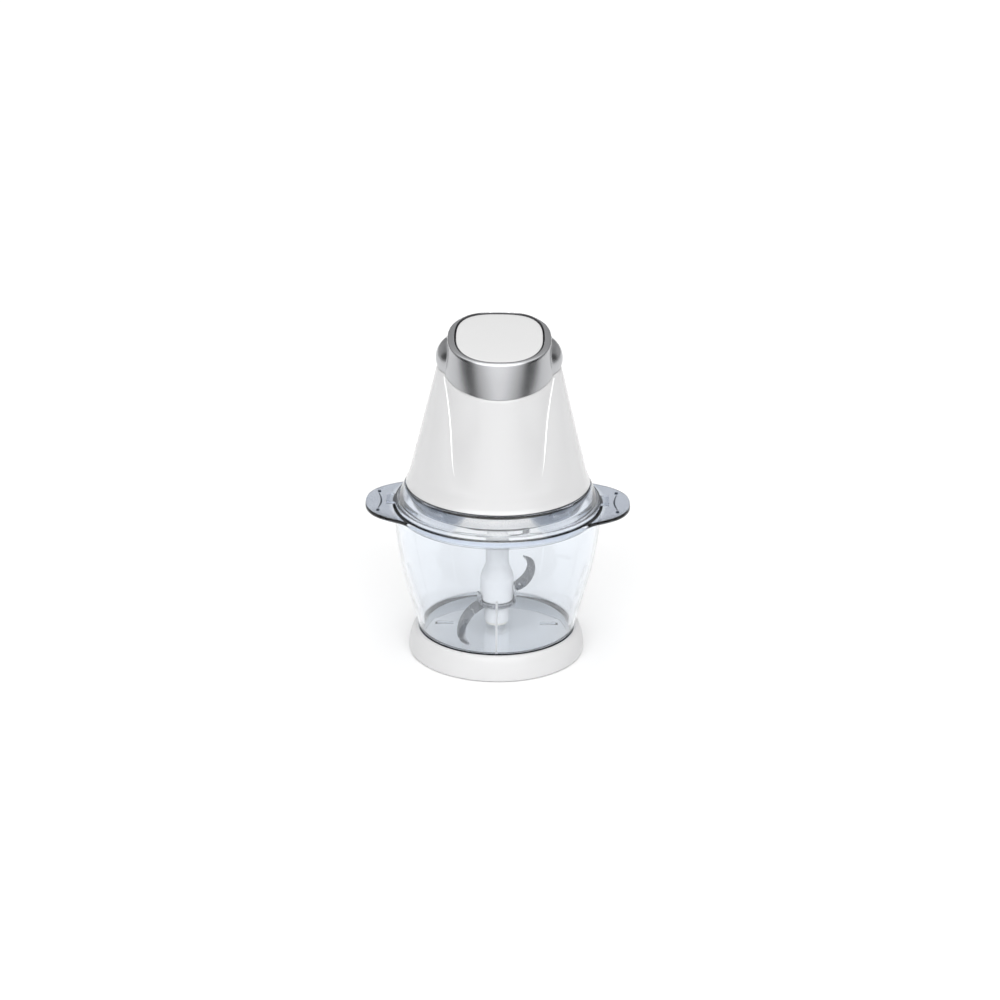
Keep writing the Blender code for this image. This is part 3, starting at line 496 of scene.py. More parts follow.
def turned(name, profile, look=None, body=None, nodes=(), ease=0.3, count=FINE, at=(0, 0)):
    """A solid of revolution about Z, from a (radius, height) outline with eased edges. One that
    starts and ends on the axis is solid, and any other closes on itself as a ring."""
    solid = profile[0][0] == 0
    outline = rounded(profile, ease, closed=not solid)
    made = bmesh.new()
    loops = []
    for radius, height in outline:
        if radius == 0:
            loops.append([made.verts.new(Vector((*at, height)) * MM)])
            continue
        loops.append([made.verts.new(Vector((x, y, height)) * MM) for x, y in polygon(radius, count, at)])
    pairs = list(zip(loops, loops[1:] + ([] if solid else loops[:1])))
    for above, below in pairs:
        for i in range(count):
            j = (i + 1) % count
            corners = [above[i % len(above)], below[i % len(below)], below[j % len(below)],
                       above[j % len(above)]]
            made.faces.new(list(dict.fromkeys(corners)))
    return finished(name, made, look, body, nodes)


def prism(name, corners, low_z, high_z):
    """An upright prism over a convex outline in plan, for joining to a piece or cutting from it."""
    return loft(name, [[(x, y, low_z) for x, y in corners], [(x, y, high_z) for x, y in corners]])


def block(name, low_corner, high_corner):
    (x0, y0, z0), (x1, y1, z1) = low_corner, high_corner
    return prism(name, [(x0, y0), (x1, y0), (x1, y1), (x0, y1)], z0, z1)


def polygon(radius, count, at=(0, 0)):
    bearings = [TURN * i / count for i in range(count)]
    return [(at[0] + radius * cos(bearing), at[1] + radius * sin(bearing)) for bearing in bearings]


def combine(target, operation, operands):
    """Joins the operands to the target, or cuts them from it, and removes them."""
    for operand in operands:
        modifier = target.modifiers.new(operation.title(), "BOOLEAN")
        modifier.object = operand
        modifier.operation = operation
        modifier.solver = "EXACT"
    bpy.context.view_layer.update()
    evaluated = target.evaluated_get(bpy.context.evaluated_depsgraph_get())
    mesh = bpy.data.meshes.new_from_object(evaluated)
    target.modifiers.clear()
    old = target.data
    target.data = mesh
    bpy.data.meshes.remove(old)
    for operand in operands:
        bpy.data.objects.remove(operand, do_unlink=True)
    mesh.shade_smooth()
    mesh.set_sharp_from_angle(angle=radians(40))


def repaint(obj, look, chosen):
    """Gives another material to the faces chosen by their middle, in millimetres, and their normal."""
    obj.data.materials.append(look)
    for face in obj.data.polygons:
        if chosen(face.center / MM, face.normal):
            face.material_index = 1


def polar_ring(radius, height, count=FINE, shift=0.0):
    """Points (x, y, z) all round. radius(angle) is in plan, height(x, y) gives each point's z."""
    ring = []
    for i in range(count):
        angle = TURN * i / count
        x = radius(angle) * cos(angle)
        y = radius(angle) * sin(angle) + shift
        ring.append((x, y, height(x, y)))
    return ring


def round_ring(radius, height):
    return polar_ring(lambda angle: radius, flat(height))


def superellipse(half_x, half_y, power):
    """The radius at an angle of a rounded box of these half-sizes. A power of 2 is an ellipse."""
    def radius(angle):
        across = abs(cos(angle) / half_x) ** power
        along = abs(sin(angle) / half_y) ** power
        return (across + along) ** (-1 / power)
    return radius


def egg(half_x, half_y, front, back):
    """The same as superellipse, with one power towards the front and another towards the back."""
    ahead, behind = superellipse(half_x, half_y, front), superellipse(half_x, half_y, back)
    return lambda angle: ahead(angle) if sin(angle) < 0 else behind(angle)


def smooth_max(a, b, width):
    """The larger of two radii, with a fillet where they are within width of each other."""
    return max(a, b) + max(width - abs(a - b), 0) ** 2 / (4 * width)


def lobe_radius(angle, reach, lobe):
    """The radius at an angle of the two circles of radius lobe that reach out along +X and -X."""
    offset = reach - lobe
    inside = lobe ** 2 - (offset * sin(angle)) ** 2
    return offset * abs(cos(angle)) + sqrt(inside) if inside > 0 else 0.0


def tilted(height, tilt=TILT):
    """A plane that rises from front to back, at this height on the axis."""
    return lambda x, y: height + tilt * y


def flat(height):
    return lambda x, y: height


def bezier(points, t):
    """A point at t along the cubic curve of four control points in plan."""
    weights = ((1 - t) ** 3, 3 * t * (1 - t) ** 2, 3 * t * t * (1 - t), t ** 3)
    return tuple(sum(w * p[axis] for w, p in zip(weights, points)) for axis in (0, 1))


# ---- foot


def make_foot():
    look = plastic("foot_plastic", (0.71, 0.71, 0.715), (0.3, 0.42), grain=1400, depth_mm=0.02)
    lip = 0.8
    bell = []
    for i in range(0, 13):
        share = i / 12
        radius = FOOT_MOUTH_R + lip + (FOOT_R - FOOT_MOUTH_R - lip) * sin(share * pi / 2)
        bell.append((radius, 1.2 + (FOOT_H - 1.2) * cos(share * pi / 2)))
    in_r, out_r = GRIP_R - GRIP_W - FIT, GRIP_R + FIT
    profile = [(0, FOOT_FLOOR_Z), (FOOT_MOUTH_R - 1.5, FOOT_FLOOR_Z), (FOOT_MOUTH_R, FOOT_FLOOR_Z + 1.5),
               (FOOT_MOUTH_R, FOOT_H)] + bell + [(FOOT_R - 0.8, 0.4), (out_r, 0.4), (out_r, 2.3), (in_r, 2.3),
                                                 (in_r, 0.4), (in_r - 2, 0.4), (in_r - 3, 1.4), (0, 1.4)]
    foot = turned("foot_shell", profile, look, "foot", ["foot"], ease=0.35)
    # Painted light: the dish inside the foot gets a paler copy of the foot's plastic, brighter than the shade
    # there would leave it.
    repaint(foot, plastic("dish_painted_light", (0.96, 0.965, 0.97), (0.4, 0.5)),
            lambda middle, normal: middle.xy.length < FOOT_MOUTH_R + 0.1 and normal.z > -0.5)
    grip = plastic("grip_rubber", (0.80, 0.80, 0.81), (0.65, 0.8), grain=1800, depth_mm=0.03)
    turned("grip_band", [(GRIP_R, 2.0), (GRIP_R, 0.0), (GRIP_R - GRIP_W, 0.0), (GRIP_R - GRIP_W, 2.0)], grip,
           "foot", ["grip_ring"])


# ---- bowl


def rim_outline(angle):
    """The rim's edge in plan: a circle that swells into a handle at each side."""
    handle = superellipse(HANDLE_REACH, HANDLE_HALF_W, HANDLE_POWER)(angle)
    return smooth_max(RIM_R, handle, 6.0) if handle > RIM_R - 6 else RIM_R


def edge_ring(inset, height, drop=0.0):
    """A ring that follows the rim's edge, dropping by drop out on the handles."""
    ring = polar_ring(lambda angle: rim_outline(angle) - inset, flat(height))
    out = []
    for i, (x, y, z) in enumerate(ring):
        share = min(max((rim_outline(TURN * i / len(ring)) - RIM_R) / 4, 0), 1)
        out.append((x, y, z - drop * share))
    return out


def neck_ring(radius, height, drop):
    """A ring like edge_ring, held in to a circle, where the handles' underside leaves the wall."""
    edge = edge_ring(0.8, height, drop)
    shares = [min(radius / hypot(x, y), 1) for x, y, z in edge]
    return [(x * share, y * share, z) for (x, y, z), share in zip(edge, shares)]


def bowl_rings():
    underside = RIM_TOP_Z - RIM_T
    drop = HANDLE_T - RIM_T
    skirt = [(BOWL_FOOT_R - WALL, FLOOR_Z - FLOOR_T), (BOWL_FOOT_R - WALL, BOWL_SKIRT_Z + 0.4),
             (BOWL_FOOT_R - WALL + 0.4, BOWL_SKIRT_Z), (BOWL_FOOT_R - 0.4, BOWL_SKIRT_Z),
             (BOWL_FOOT_R, BOWL_SKIRT_Z + 0.4)]
    rings = [round_ring(r, z) for r, z in skirt + smooth_curve(BOWL_WALL, 4)]
    wall_top = BOWL_WALL[-1][0]
    rings += [round_ring(wall_top + 0.05, underside - 1.6), round_ring(wall_top + 0.2, underside - 0.6)]
    rings += [neck_ring(wall_top + 1.2, underside - 0.1, drop), edge_ring(0.7, underside - 0.05, drop),
              edge_ring(0.4, underside, drop), edge_ring(0.0, underside + 0.5, drop),
              edge_ring(0.0, RIM_TOP_Z - 0.7), edge_ring(0.25, RIM_TOP_Z - 0.2), edge_ring(0.8, RIM_TOP_Z),
              edge_ring(2.0, RIM_TOP_Z)]
    inner_top = BOWL_WALL[-1][0] - WALL + 0.1
    rings += [round_ring(inner_top + 0.5, RIM_TOP_Z), round_ring(inner_top, RIM_TOP_Z - 0.5)]
    inner = [(r - WALL, z) for r, z in BOWL_WALL[:1:-1]]
    rings += [round_ring(r, z) for r, z in smooth_curve(inner, 4)]
    fillet = 4.0
    floor_r = BOWL_WALL[0][0] - WALL + 0.6
    for i in range(7):
        angle = pi / 2 * i / 6
        rings.append(round_ring(floor_r - fillet + fillet * cos(angle),
                                FLOOR_Z + fillet - fillet * sin(angle)))
    return rings


def rib_root(height):
    """How far out the straight line lies that the ribs follow up the inside of the wall."""
    lean = (BOWL_WALL[4][0] - BOWL_WALL[0][0]) / (BOWL_WALL[4][1] - BOWL_WALL[0][1])
    return BOWL_WALL[0][0] - WALL + lean * (height - FLOOR_Z)


def rib(quarter):
    """An upright rib on the inside of the wall: a thin slab that follows its slope."""
    spin = Matrix.Rotation(quarter * TURN / 4, 3, "Z")
    sections = []
    for height, depth in ((FLOOR_Z - 1, RIB_DEPTH), (RIB_TOP_Z - 3, RIB_DEPTH), (RIB_TOP_Z, 0.5)):
        wall = rib_root(height)
        corners = [(wall - depth, -RIB_T / 2), (wall + 1.2, -RIB_T / 2), (wall + 1.2, RIB_T / 2),
                   (wall - depth, RIB_T / 2)]
        sections.append([spin @ Vector((x, y, height)) for x, y in corners])
    return loft(f"rib_{quarter}", sections)


def bowl_features():
    """The ribs, and the floor ridges, each with a short toe."""
    pieces = [rib(quarter) for quarter in range(4)]
    for side in (-1, 1):
        span = sorted((side * RIDGE_IN, side * RIDGE_OUT))
        toe = sorted((side * RIDGE_OUT, side * (RIDGE_OUT - 1.6)))
        pieces.append(block(f"ridge_{side}", (span[0], -0.8, FLOOR_Z - 1), (span[1], 0.8, FLOOR_Z + 1.5)))
        pieces.append(block(f"toe_{side}", (toe[0], 0.5, FLOOR_Z - 1), (toe[1], 7.5, FLOOR_Z + 1.4)))
    return pieces


def tube(name, path, radii, look, body, nodes, sides=8):
    """A thin tube along points in millimetres, with a radius at each of them."""
    rings = []
    for i, (point, radius) in enumerate(zip(path, radii)):
        ahead = Vector(path[min(i + 1, len(path) - 1)]) - Vector(path[max(i - 1, 0)])
        across = ahead.orthogonal() if i == 0 else across - across.project(ahead)
        across.normalize()
        upright = ahead.normalized().cross(across)
        rings.append([Vector(point) + radius * (cos(TURN * j / sides) * across
                                                + sin(TURN * j / sides) * upright)
                      for j in range(sides)])
    return loft(name, rings, look, body, nodes)


def make_handle_marks():
    """A raised curved stroke along each handle, with a round dot beyond each end."""
    look = clear_plastic("mark_clear", (0.10, 0.12, 0.16), (0.5, 0.52, 0.56))[0]
    for side, name in ((-1, "left"), (1, "right")):
        path, radii = [], []
        for i in range(17):
            share = i / 16
            bow = STROKE_BOW * sin(pi * share)
            path.append((side * (MARK_X - bow), -STROKE_HALF_L + 2 * STROKE_HALF_L * share,
                         RIM_TOP_Z + 0.2))
            radii.append(STROKE_R + STROKE_R * sin(pi * share) ** 2)
        stroke = tube(f"handle_stroke_{name}", path, radii, look, "bowl", ["bowl"])
        dots = [prism(f"dot_{name}_{end}", polygon(DOT_R, 24, (side * MARK_X, end * DOT_Y)),
                      RIM_TOP_Z - 0.4, RIM_TOP_Z + MARK_H) for end in (-1, 1)]
        combine(stroke, "UNION", dots)


def whiten_ribs(bowl):
    """Gives the upright ribs a milky white plastic: a painted highlight for the light they catch."""
    look = plastic("rib_highlight", (0.97, 0.975, 0.985), (0.25, 0.35))
    look.node_tree.nodes["Principled BSDF"].inputs["Transmission Weight"].default_value = 0.25

    def on_rib(middle, normal):
        depth = rib_root(middle.z) - middle.xy.length
        return (min(abs(middle.x), abs(middle.y)) < RIB_T / 2 + 0.05
                and FLOOR_Z + 0.5 < middle.z < RIB_TOP_Z + 0.1 and -0.6 < depth < RIB_DEPTH + 0.2)
    repaint(bowl, look, on_rib)


def make_bowl():
    look = clear_bowl((0.93, 0.955, 0.985), foot_shade=(0.10, 0.12, 0.17), rim=(0.70, 0.745, 0.81),
                      handle=(0.52, 0.56, 0.635))
    bowl = loft("bowl_shell", bowl_rings(), look, "bowl", ["bowl"])
    combine(bowl, "UNION", bowl_features())
    whiten_ribs(bowl)
    make_handle_marks()
    steel = metal("spindle_steel", (0.72, 0.72, 0.73), (0.12, 0.2), stretch=(0.05, 0.05, 1))
    flange_r, flange_z = 6.5, 21.0
    profile = [(0, SPINDLE_TOP_Z), (SPINDLE_R - 0.8, SPINDLE_TOP_Z), (SPINDLE_R, SPINDLE_TOP_Z - 1.2),
               (SPINDLE_R, flange_z), (flange_r, flange_z), (flange_r, FLOOR_Z + FIT), (0, FLOOR_Z + FIT)]
    turned("spindle_pin", profile, steel, "bowl", ["bowl_spindle"], count=48)


# ---- lid


def lug(degrees):
    """A low curved locking lug on the lid's slope."""
    sections = []
    count = 10
    for i in range(count + 1):
        share = i / count
        bearing = radians(degrees) + (share - 0.5) * LUG_SWEEP
        height = LUG_H * sin(pi * share) ** 0.5 + 0.05
        out = Vector((cos(bearing), sin(bearing), 0))
        up = Vector((0, 0, 1))
        middle = out * LUG_R + up * LUG_Z
        sections.append([middle - out * 1.6 - up * 0.2, middle + out * 0.6 - up * 2.2,
                         middle + out * (0.6 + height) - up * 1.2, middle + out * (height - 0.6) + up * 0.6])
    return loft(f"lug_{degrees}", sections)


def make_lid_ledges():
    """A thin dark ledge on each side of the lid's crest, thinning at its ends and hooked down
    towards the front."""
    look = clear_plastic("ledge_clear", (0.12, 0.14, 0.19), (0.6, 0.62, 0.66))[0]
    for side, name in ((-1, "left"), (1, "right")):
        path, radii = [], []
        for i in range(33):
            share = i / 32
            bearing = radians(LEDGE_FROM + LEDGE_SWEEP * share)
            hook = max(1 - share / HOOK_SHARE, 0) ** 2
            radius = LEDGE_R + HOOK_OUT * hook
            path.append((side * radius * sin(bearing), -radius * cos(bearing),
                         LEDGE_Z - HOOK_DROP * hook))
            radii.append(LEDGE_HALF_T * min(1, 0.3 + 4 * share, 0.3 + 2 * (1 - share)))
        tube(f"lid_ledge_{name}", path, radii, look, "lid", ["lid"])


def make_lid():
    look = clear_lid((0.80, 0.83, 0.88), front_highlight=(0.99, 0.995, 1.0))
    profile = [(LID_R - 0.5, LID_RIM_Z), (LID_R, LID_RIM_Z - 0.5), (LID_R, LID_SEAT_Z),
               (LID_SKIRT_R, LID_SEAT_Z), (LID_SKIRT_R, LID_SKIRT_Z), (LID_SKIRT_R - 1.8, LID_SKIRT_Z),
               (LID_SKIRT_R - 1.8, 127.2), (69.0, 133.4), (68.3, 133.4), (64.3, 120.6), (63.4, 119.0),
               (LID_HOLE_R, 119.0), (LID_HOLE_R, LID_FLOOR_Z), (62.2, LID_FLOOR_Z), (66.6, 134.8),
               (67.6, LID_CREST_Z), (69.3, LID_CREST_Z), (70.6, 134.8), (75.4, 124.2),
               (76.4, LID_RIM_Z)]
    lid = turned("lid_shell", profile, look, "lid", ["lid"], ease=0.5)
    pieces = [lug(degrees) for degrees in LUG_BEARINGS]
    for side in (-1, 1):
        span = sorted((side * TAB_IN, side * TAB_REACH))
        pieces.append(block(f"tab_{side}", (span[0], -TAB_HALF_W, TAB_Z), (span[1], TAB_HALF_W, TAB_TOP_Z)))
    combine(lid, "UNION", pieces)
    make_lid_ledges()
    seal_look = plastic("seal_silicone", (0.80, 0.82, 0.86), (0.45, 0.55), depth_mm=0.01)
    seal_out = high("lid_seal").x
    seal_in = LID_SKIRT_R + FIT
    profile = [(seal_out - 0.5, 117.0), (seal_out, 115.6), (seal_out - 0.3, 115.2), (seal_out, 114.8),
               (seal_out - 0.5, 113.5), (seal_in, 113.5), (seal_in, 117.0)]
    turned("seal_band", profile, seal_look, "lid", ["lid_seal"], ease=0.2)


# ---- blade unit


def make_hub():
    look = plastic("hub_plastic", (0.86, 0.865, 0.875), (0.22, 0.3))
    shoulder = []
    for i in range(13):
        share = i / 12
        ease = share * share * (3 - 2 * share)
        shoulder.append((NECK_R + (HUB_R - NECK_R) * ease, NECK_Z - 14 * share))
    bore = BUSH_R + 0.1
    profile = [(0, HUB_TOP_Z), (NECK_R - 0.6, HUB_TOP_Z), (NECK_R, HUB_TOP_Z - 0.6)] + shoulder
    profile += [(HUB_R, HUB_STEP_Z + 1.2), (HUB_R - 0.6, HUB_STEP_Z), (HUB_LOW_R, HUB_STEP_Z),
                (HUB_LOW_R, HUB_BASE_Z), (bore, HUB_BASE_Z), (bore, 67.0), (0, 67.0)]
    hub = turned("hub_shaft", profile, look, "blade", ["blade_hub"], count=MEDIUM)
    combine(hub, "UNION", [prism("drive_hex", polygon(DRIVE_HEX_R, 6), HUB_TOP_Z - 2, DRIVE_TOP_Z)])
    nylon_look = plastic("bush_nylon", (0.78, 0.77, 0.72), (0.35, 0.45))
    sleeve_in = SPINDLE_R + 0.1
    profile = [(BUSH_R, 62.0), (BUSH_R, 23.0), (8.5, 23.0), (8.5, 21.3), (sleeve_in, 21.3), (sleeve_in, 62.0)]
    turned("bush_sleeve", profile, nylon_look, "blade_bush", ["blade_bush"], count=48)


def blade_wing(name, outer, inner, root_z, tip_z):
    """A sickle-shaped wing between two curves in plan, ground to an edge on its outer curve.
    Its height runs evenly from root to tip."""
    sections = []
    steps = 48
    for i in range(steps + 1):
        t = i / steps
        edge = Vector((*bezier(outer, t), 0))
        back = Vector((*bezier(inner, t), 0))
        base = Vector((0, 0, root_z + (tip_z - root_z) * t - BLADE_T / 2))
        up = Vector((0, 0, BLADE_T))
        bevel = edge.lerp(back, min(BEVEL_W / max((edge - back).length, 0.01), 0.6))
        sections.append([base + back, base + edge, base + edge + up * EDGE_T, base + bevel + up,
                         base + back + up])
    return loft(name, sections)


def opposite(points):
    """The same points half a turn round the axis."""
    return [(-x, -y) for x, y in points]


def blade_ring(node, base_z, look):
    """The ring of a blade, round the hub. The rest of the blade is joined to it."""
    ring = [(RING_R, BLADE_T), (RING_R, 0), (RING_IN, 0), (RING_IN, BLADE_T)]
    return turned(f"{node}_steel", [(r, z + base_z) for r, z in ring], look, "blade",
                  [node], ease=0.1, count=MEDIUM)


def make_blades():
    look = metal("blade_steel", (0.62, 0.63, 0.65), (0.16, 0.3), stretch=(1, 0.12, 1), grain=500)
    lower = blade_ring("lower_blade", LOWER_RING_Z, look)
    wing = blade_wing("lower_wing", opposite(WING_OUTER), opposite(WING_INNER),
                      LOWER_RING_Z + BLADE_T / 2, LOWER_TIP_Z)
    combine(wing, "DIFFERENCE", [prism("lower_bore", polygon(RING_IN, MEDIUM), LOWER_TIP_Z, HUB_STEP_Z)])
    combine(lower, "UNION", [wing])
    combine(lower, "DIFFERENCE", [prism("lower_hole", polygon(BLADE_HOLE_R, 24, LOWER_HOLE), 20, 60)])
    upper = blade_ring("upper_blade", UPPER_RING_Z, look)
    wing = blade_wing("upper_wing", [(15.2, -6.0)] + WING_OUTER[1:], [(12.2, 7.5)] + WING_INNER[1:],
                      UPPER_ROOT_Z, UPPER_TIP_Z)
    middle = RING_R - 0.2
    low_x, high_x = middle - BLADE_T / 2, middle + BLADE_T / 2
    riser = block("riser", (low_x, -5.5, UPPER_RING_Z), (high_x, 6.5, UPPER_ROOT_Z + 0.4))
    tab = block("stop_tab", (low_x, -4, UPPER_RING_Z), (high_x, 4, UPPER_RING_Z + 7.5))
    tab.data.transform(Matrix.Rotation(pi + TAB_TURN, 4, "Z"))
    combine(upper, "UNION", [riser, tab, wing])
    combine(upper, "DIFFERENCE", [prism("upper_hole", polygon(BLADE_HOLE_R, 24, UPPER_HOLE), 45, 60)])


# ---- motor housing and collar


def cone_radius(height):
    """How far the housing reaches at each side, with a small flare at its lower edge."""
    return SEAM_R + CONE_SLOPE * (SEAM_Z - height) + exp((BODY_Z - height) / 4)


def oval_and_lobe(height):
    """The two shapes that make the housing's outline at a nominal height: an oval and a pair of side
    lobes, each as a radius at an angle."""
    reach = cone_radius(height)
    below = SEAM_Z - height
    lobe = min(LOBE_R + LOBE_GROWTH * below, reach)
    oval_x = min(OVAL_X - OVAL_TAPER * below + OVAL_SPREAD * below ** 2, reach)
    return superellipse(oval_x, reach, 2), lambda angle: lobe_radius(angle, reach, lobe)


def housing_section(height, inset=0.0):
    """The housing's outline at a nominal height: near the top an oval with a narrow lobe at each
    side, which grow together into one circle at the bottom."""
    oval, lobe = oval_and_lobe(height)
    fillet = 0.2 + 1.6 * min(max((height - 145) / 25, 0), 1)
    return lambda angle: smooth_max(oval(angle), lobe(angle), fillet) - inset


def housing_ring(share, inset=0.0, raised=0.0, count=FINE * 2):
    """The housing's ring at a share of the way from its flat bottom to its tilted seam."""
    nominal = BODY_Z + (SEAM_Z - BODY_Z) * share
    return polar_ring(housing_section(nominal, inset), tilted(nominal + raised, SEAM_TILT * share), count)


def make_housing():
    look = plastic("housing_plastic", (0.685, 0.685, 0.69), (0.16, 0.22), depth_mm=0.006, coat=0.3)
    steps = 40
    step = COLLAR_WALL + 0.7
    neck = step + 2.1
    rings = [housing_ring(0, 0.5), housing_ring(0, 0.0, 0.5)]
    rings += [housing_ring(i / steps) for i in range(1, steps)]
    rings += [housing_ring(1, 0.0, -0.4), housing_ring(1, 0.4), housing_ring(1, step),
              housing_ring(1, neck, 5.0), housing_ring(1, neck + 1.8, 5.0), housing_ring(1, neck + 1.8)]
    rings += [housing_ring(i / 8, SHELL) for i in range(7, -1, -1)]
    housing = loft("housing_shell", rings, look, "motor_unit", ["motor_housing"], closed=True)
    bore = turned("gland_bore", [(0, 20), (5.4, 20), (5.4, -20), (0, -20)], ease=0, count=48)
    bore.data.transform(Matrix.Rotation(pi / 2, 4, "X"))
    bore.data.transform(Matrix.Translation(Vector((0, cone_radius(GLAND_Z), GLAND_Z)) * MM))
    combine(housing, "DIFFERENCE", [bore])
    # Painted highlight: the beads are a paler, glossier plastic than the housing.
    crease_highlight_look = plastic("crease_highlight", (0.93, 0.93, 0.935), (0.1, 0.16), depth_mm=0.003, coat=0.5)
    for name, across, along in (("front_left", -1, -1), ("front_right", 1, -1), ("back_left", -1, 1),
                                ("back_right", 1, 1)):
        crease_bead(name, across, along, crease_highlight_look)
    make_gland()


def crease_bead(name, across, along, look):
    """The fine bead down the valley between the housing's front or back and a side lobe. Its pale plastic is
    a painted highlight along the crease.
    """
    rings = []
    steps = 36
    for i in range(steps + 1):
        share = CREASE_TOP - CREASE_LENGTH * i / steps
        height = BODY_Z + (SEAM_Z - BODY_Z) * share
        angle = crease_angle(height)
        reach = housing_section(height)(angle)
        x, y = across * reach * cos(angle), along * reach * sin(angle)
        fat = BEAD_R * min(1, (steps - i + 1) / 14)
        middle_z = height + SEAM_TILT * y * share
        rings.append([(point_x, point_y, middle_z) for point_x, point_y in polygon(fat, 8, (x, y))])
    loft(f"crease_{name}", rings, look, "motor_unit", ["motor_housing"])


def crease_angle(height):
    """The angle, in the first quarter, where the lobe meets the oval at a nominal height."""
    oval, lobe = oval_and_lobe(height)
    low_angle, high_angle = 0.05, pi / 2 - 0.05
    for _ in range(40):
        angle = (low_angle + high_angle) / 2
        if oval(angle) > lobe(angle):
            high_angle = angle
        else:
            low_angle = angle
    return low_angle


def make_gland():
    """The ribbed sleeve at the back of the housing that a mains lead leaves through."""
    look = plastic("gland_rubber", (0.80, 0.80, 0.80), (0.5, 0.6), depth_mm=0.02)
    profile = [(3.6, 0.0), (4.9, -0.8), (4.9, -1.6), (4.4, -1.9), (4.4, -2.4), (4.9, -2.7), (4.9, -14.0),
               (2.6, -14.0), (2.6, 0.0)]
    gland = turned("gland_sleeve", profile, look, "motor_unit", ["cord_gland"], ease=0.25,
                   count=48)
    gland.data.transform(Matrix.Rotation(-pi / 2, 4, "X"))
    gland.data.transform(Matrix.Translation(Vector((0, high("cord_gland").y, GLAND_Z)) * MM))


def collar_section(share, inset=0.0):
    """The collar's outline at a share of its height. Its ears bulge, then dive into the band."""
    half_x = OVAL_X + (COLLAR_TOP_X - OVAL_X) * share
    half_y = SEAM_R + (COLLAR_TOP_Y - SEAM_R) * share
    oval = superellipse(half_x, half_y, 2 + (FRONT_POWER - 2) * share)
    swell = 1 - ((share - EAR_MIDDLE) / EAR_HALF_H) ** 2
    reach = EAR_REACH - EAR_DEPTH + EAR_DEPTH * sqrt(max(swell, 0))
    return lambda angle: smooth_max(oval(angle), lobe_radius(angle, reach, LOBE_R), 0.5) - inset


def collar_ring(share, inset=0.0, raised=0.0):
    height = SEAM_Z + FIT + (COLLAR_H - FIT) * share + raised
    plane = tilted(height, SEAM_TILT + (TILT - SEAM_TILT) * share)
    return polar_ring(collar_section(share, inset), plane, FINE * 2, COLLAR_TOP_SHIFT * share)


def button_ring(scale, height, grow=0.0):
    outline = egg(BUTTON_X + grow, BUTTON_Y + grow, FRONT_POWER, BUTTON_POWER)
    return polar_ring(lambda angle: scale * outline(angle), height, FINE * 2, BUTTON_SHIFT)


def make_collar():
    look = metal("collar_metal", (0.50, 0.505, 0.52), (0.24, 0.27), stretch=(0.04, 0.04, 1), grain=1500,
                 depth_mm=0.0004, share=0.02)
    rim_z = SEAM_Z + COLLAR_H
    steps = 24
    rings = [collar_ring(0, 0.4), collar_ring(0.02)]
    rings += [collar_ring(i / steps) for i in range(1, steps - 1)]
    rings += [collar_ring(0.97), collar_ring(0.99, 0.15), collar_ring(1, 0.5),
              button_ring(1, tilted(rim_z - 0.1), BUTTON_GAP + 0.3),
              button_ring(1, tilted(rim_z - 0.4), BUTTON_GAP), button_ring(1, tilted(rim_z - 8), BUTTON_GAP),
              collar_ring(0.5, COLLAR_WALL), collar_ring(0, COLLAR_WALL)]
    band = loft("collar_band", rings, look, "motor_unit", ["collar"], closed=True)
    shade_collar_gap(band)


def shade_collar_gap(band):
    """Paints shade on the collar's inner wall, which shows in the gap round the button."""
    outline = egg(BUTTON_X + BUTTON_GAP + 0.1, BUTTON_Y + BUTTON_GAP + 0.1, FRONT_POWER, BUTTON_POWER)

    def inside(middle, normal):
        x, y = middle.x, middle.y - BUTTON_SHIFT
        return hypot(x, y) < outline(atan2(y, x))
    repaint(band, plastic("collar_gap_shade", (0.10, 0.10, 0.105), (0.5, 0.6)), inside)


def make_button():
    look = plastic("button_plastic", (0.69, 0.69, 0.69), (0.35, 0.45), grain=1300, depth_mm=0.015)
    rim_z = SEAM_Z + COLLAR_H
    rings = [button_ring(1, tilted(rim_z - BUTTON_H)), button_ring(1, tilted(rim_z - 1.7)),
             button_ring(0.996, tilted(rim_z - 1.2)), button_ring(0.985, tilted(rim_z - 0.85)),
             button_ring(0.965, tilted(rim_z - 0.62)), button_ring(BUTTON_TOP_SHARE, tilted(rim_z - 0.48))]
    for share in (0.85, 0.7, 0.5, 0.3, 0.1):
        fall = BUTTON_FALL * (share / BUTTON_TOP_SHARE) ** 2
        rings.append(button_ring(share, tilted(rim_z + BUTTON_CROWN - fall)))
    button = loft("button_cap", rings, look, "button", ["push_button"])
    # Painted shade: the cap's side below its edge is dark, as if in the shadow of the gap round it.
    repaint(button, plastic("button_side_shade", (0.10, 0.10, 0.105), (0.5, 0.6)),
            lambda middle, normal: middle.z < tilted(rim_z - 0.9)(0, middle.y))
    stem = prism("button_stem", polygon(STEM_R, 24, (0, BUTTON_SHIFT)), STEM_Z, rim_z - BUTTON_H + 3)
    combine(button, "UNION", [stem])


def make_button_spring():
    """The coil under the button, between the bottom and top of its CAD node's box."""
    seat, top = low("button_spring"), high("button_spring")
    coil_r = top.x - SPRING_WIRE_R
    length = top.z - seat.z
    steps = SPRING_TURNS * SPRING_STEPS
    path = []
    for i in range(steps + 1):
        angle = TURN * i / SPRING_STEPS
        path.append((coil_r * cos(angle), coil_r * sin(angle) + BUTTON_SHIFT,
                     seat.z + SPRING_WIRE_R + (length - 2 * SPRING_WIRE_R) * i / steps))
    look = metal("spring_steel", (0.66, 0.66, 0.68), (0.15, 0.25))
    coil = tube("button_coil", path, [SPRING_WIRE_R] * len(path), look, "motor_unit",
                ["button_spring"])
    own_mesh(coil)


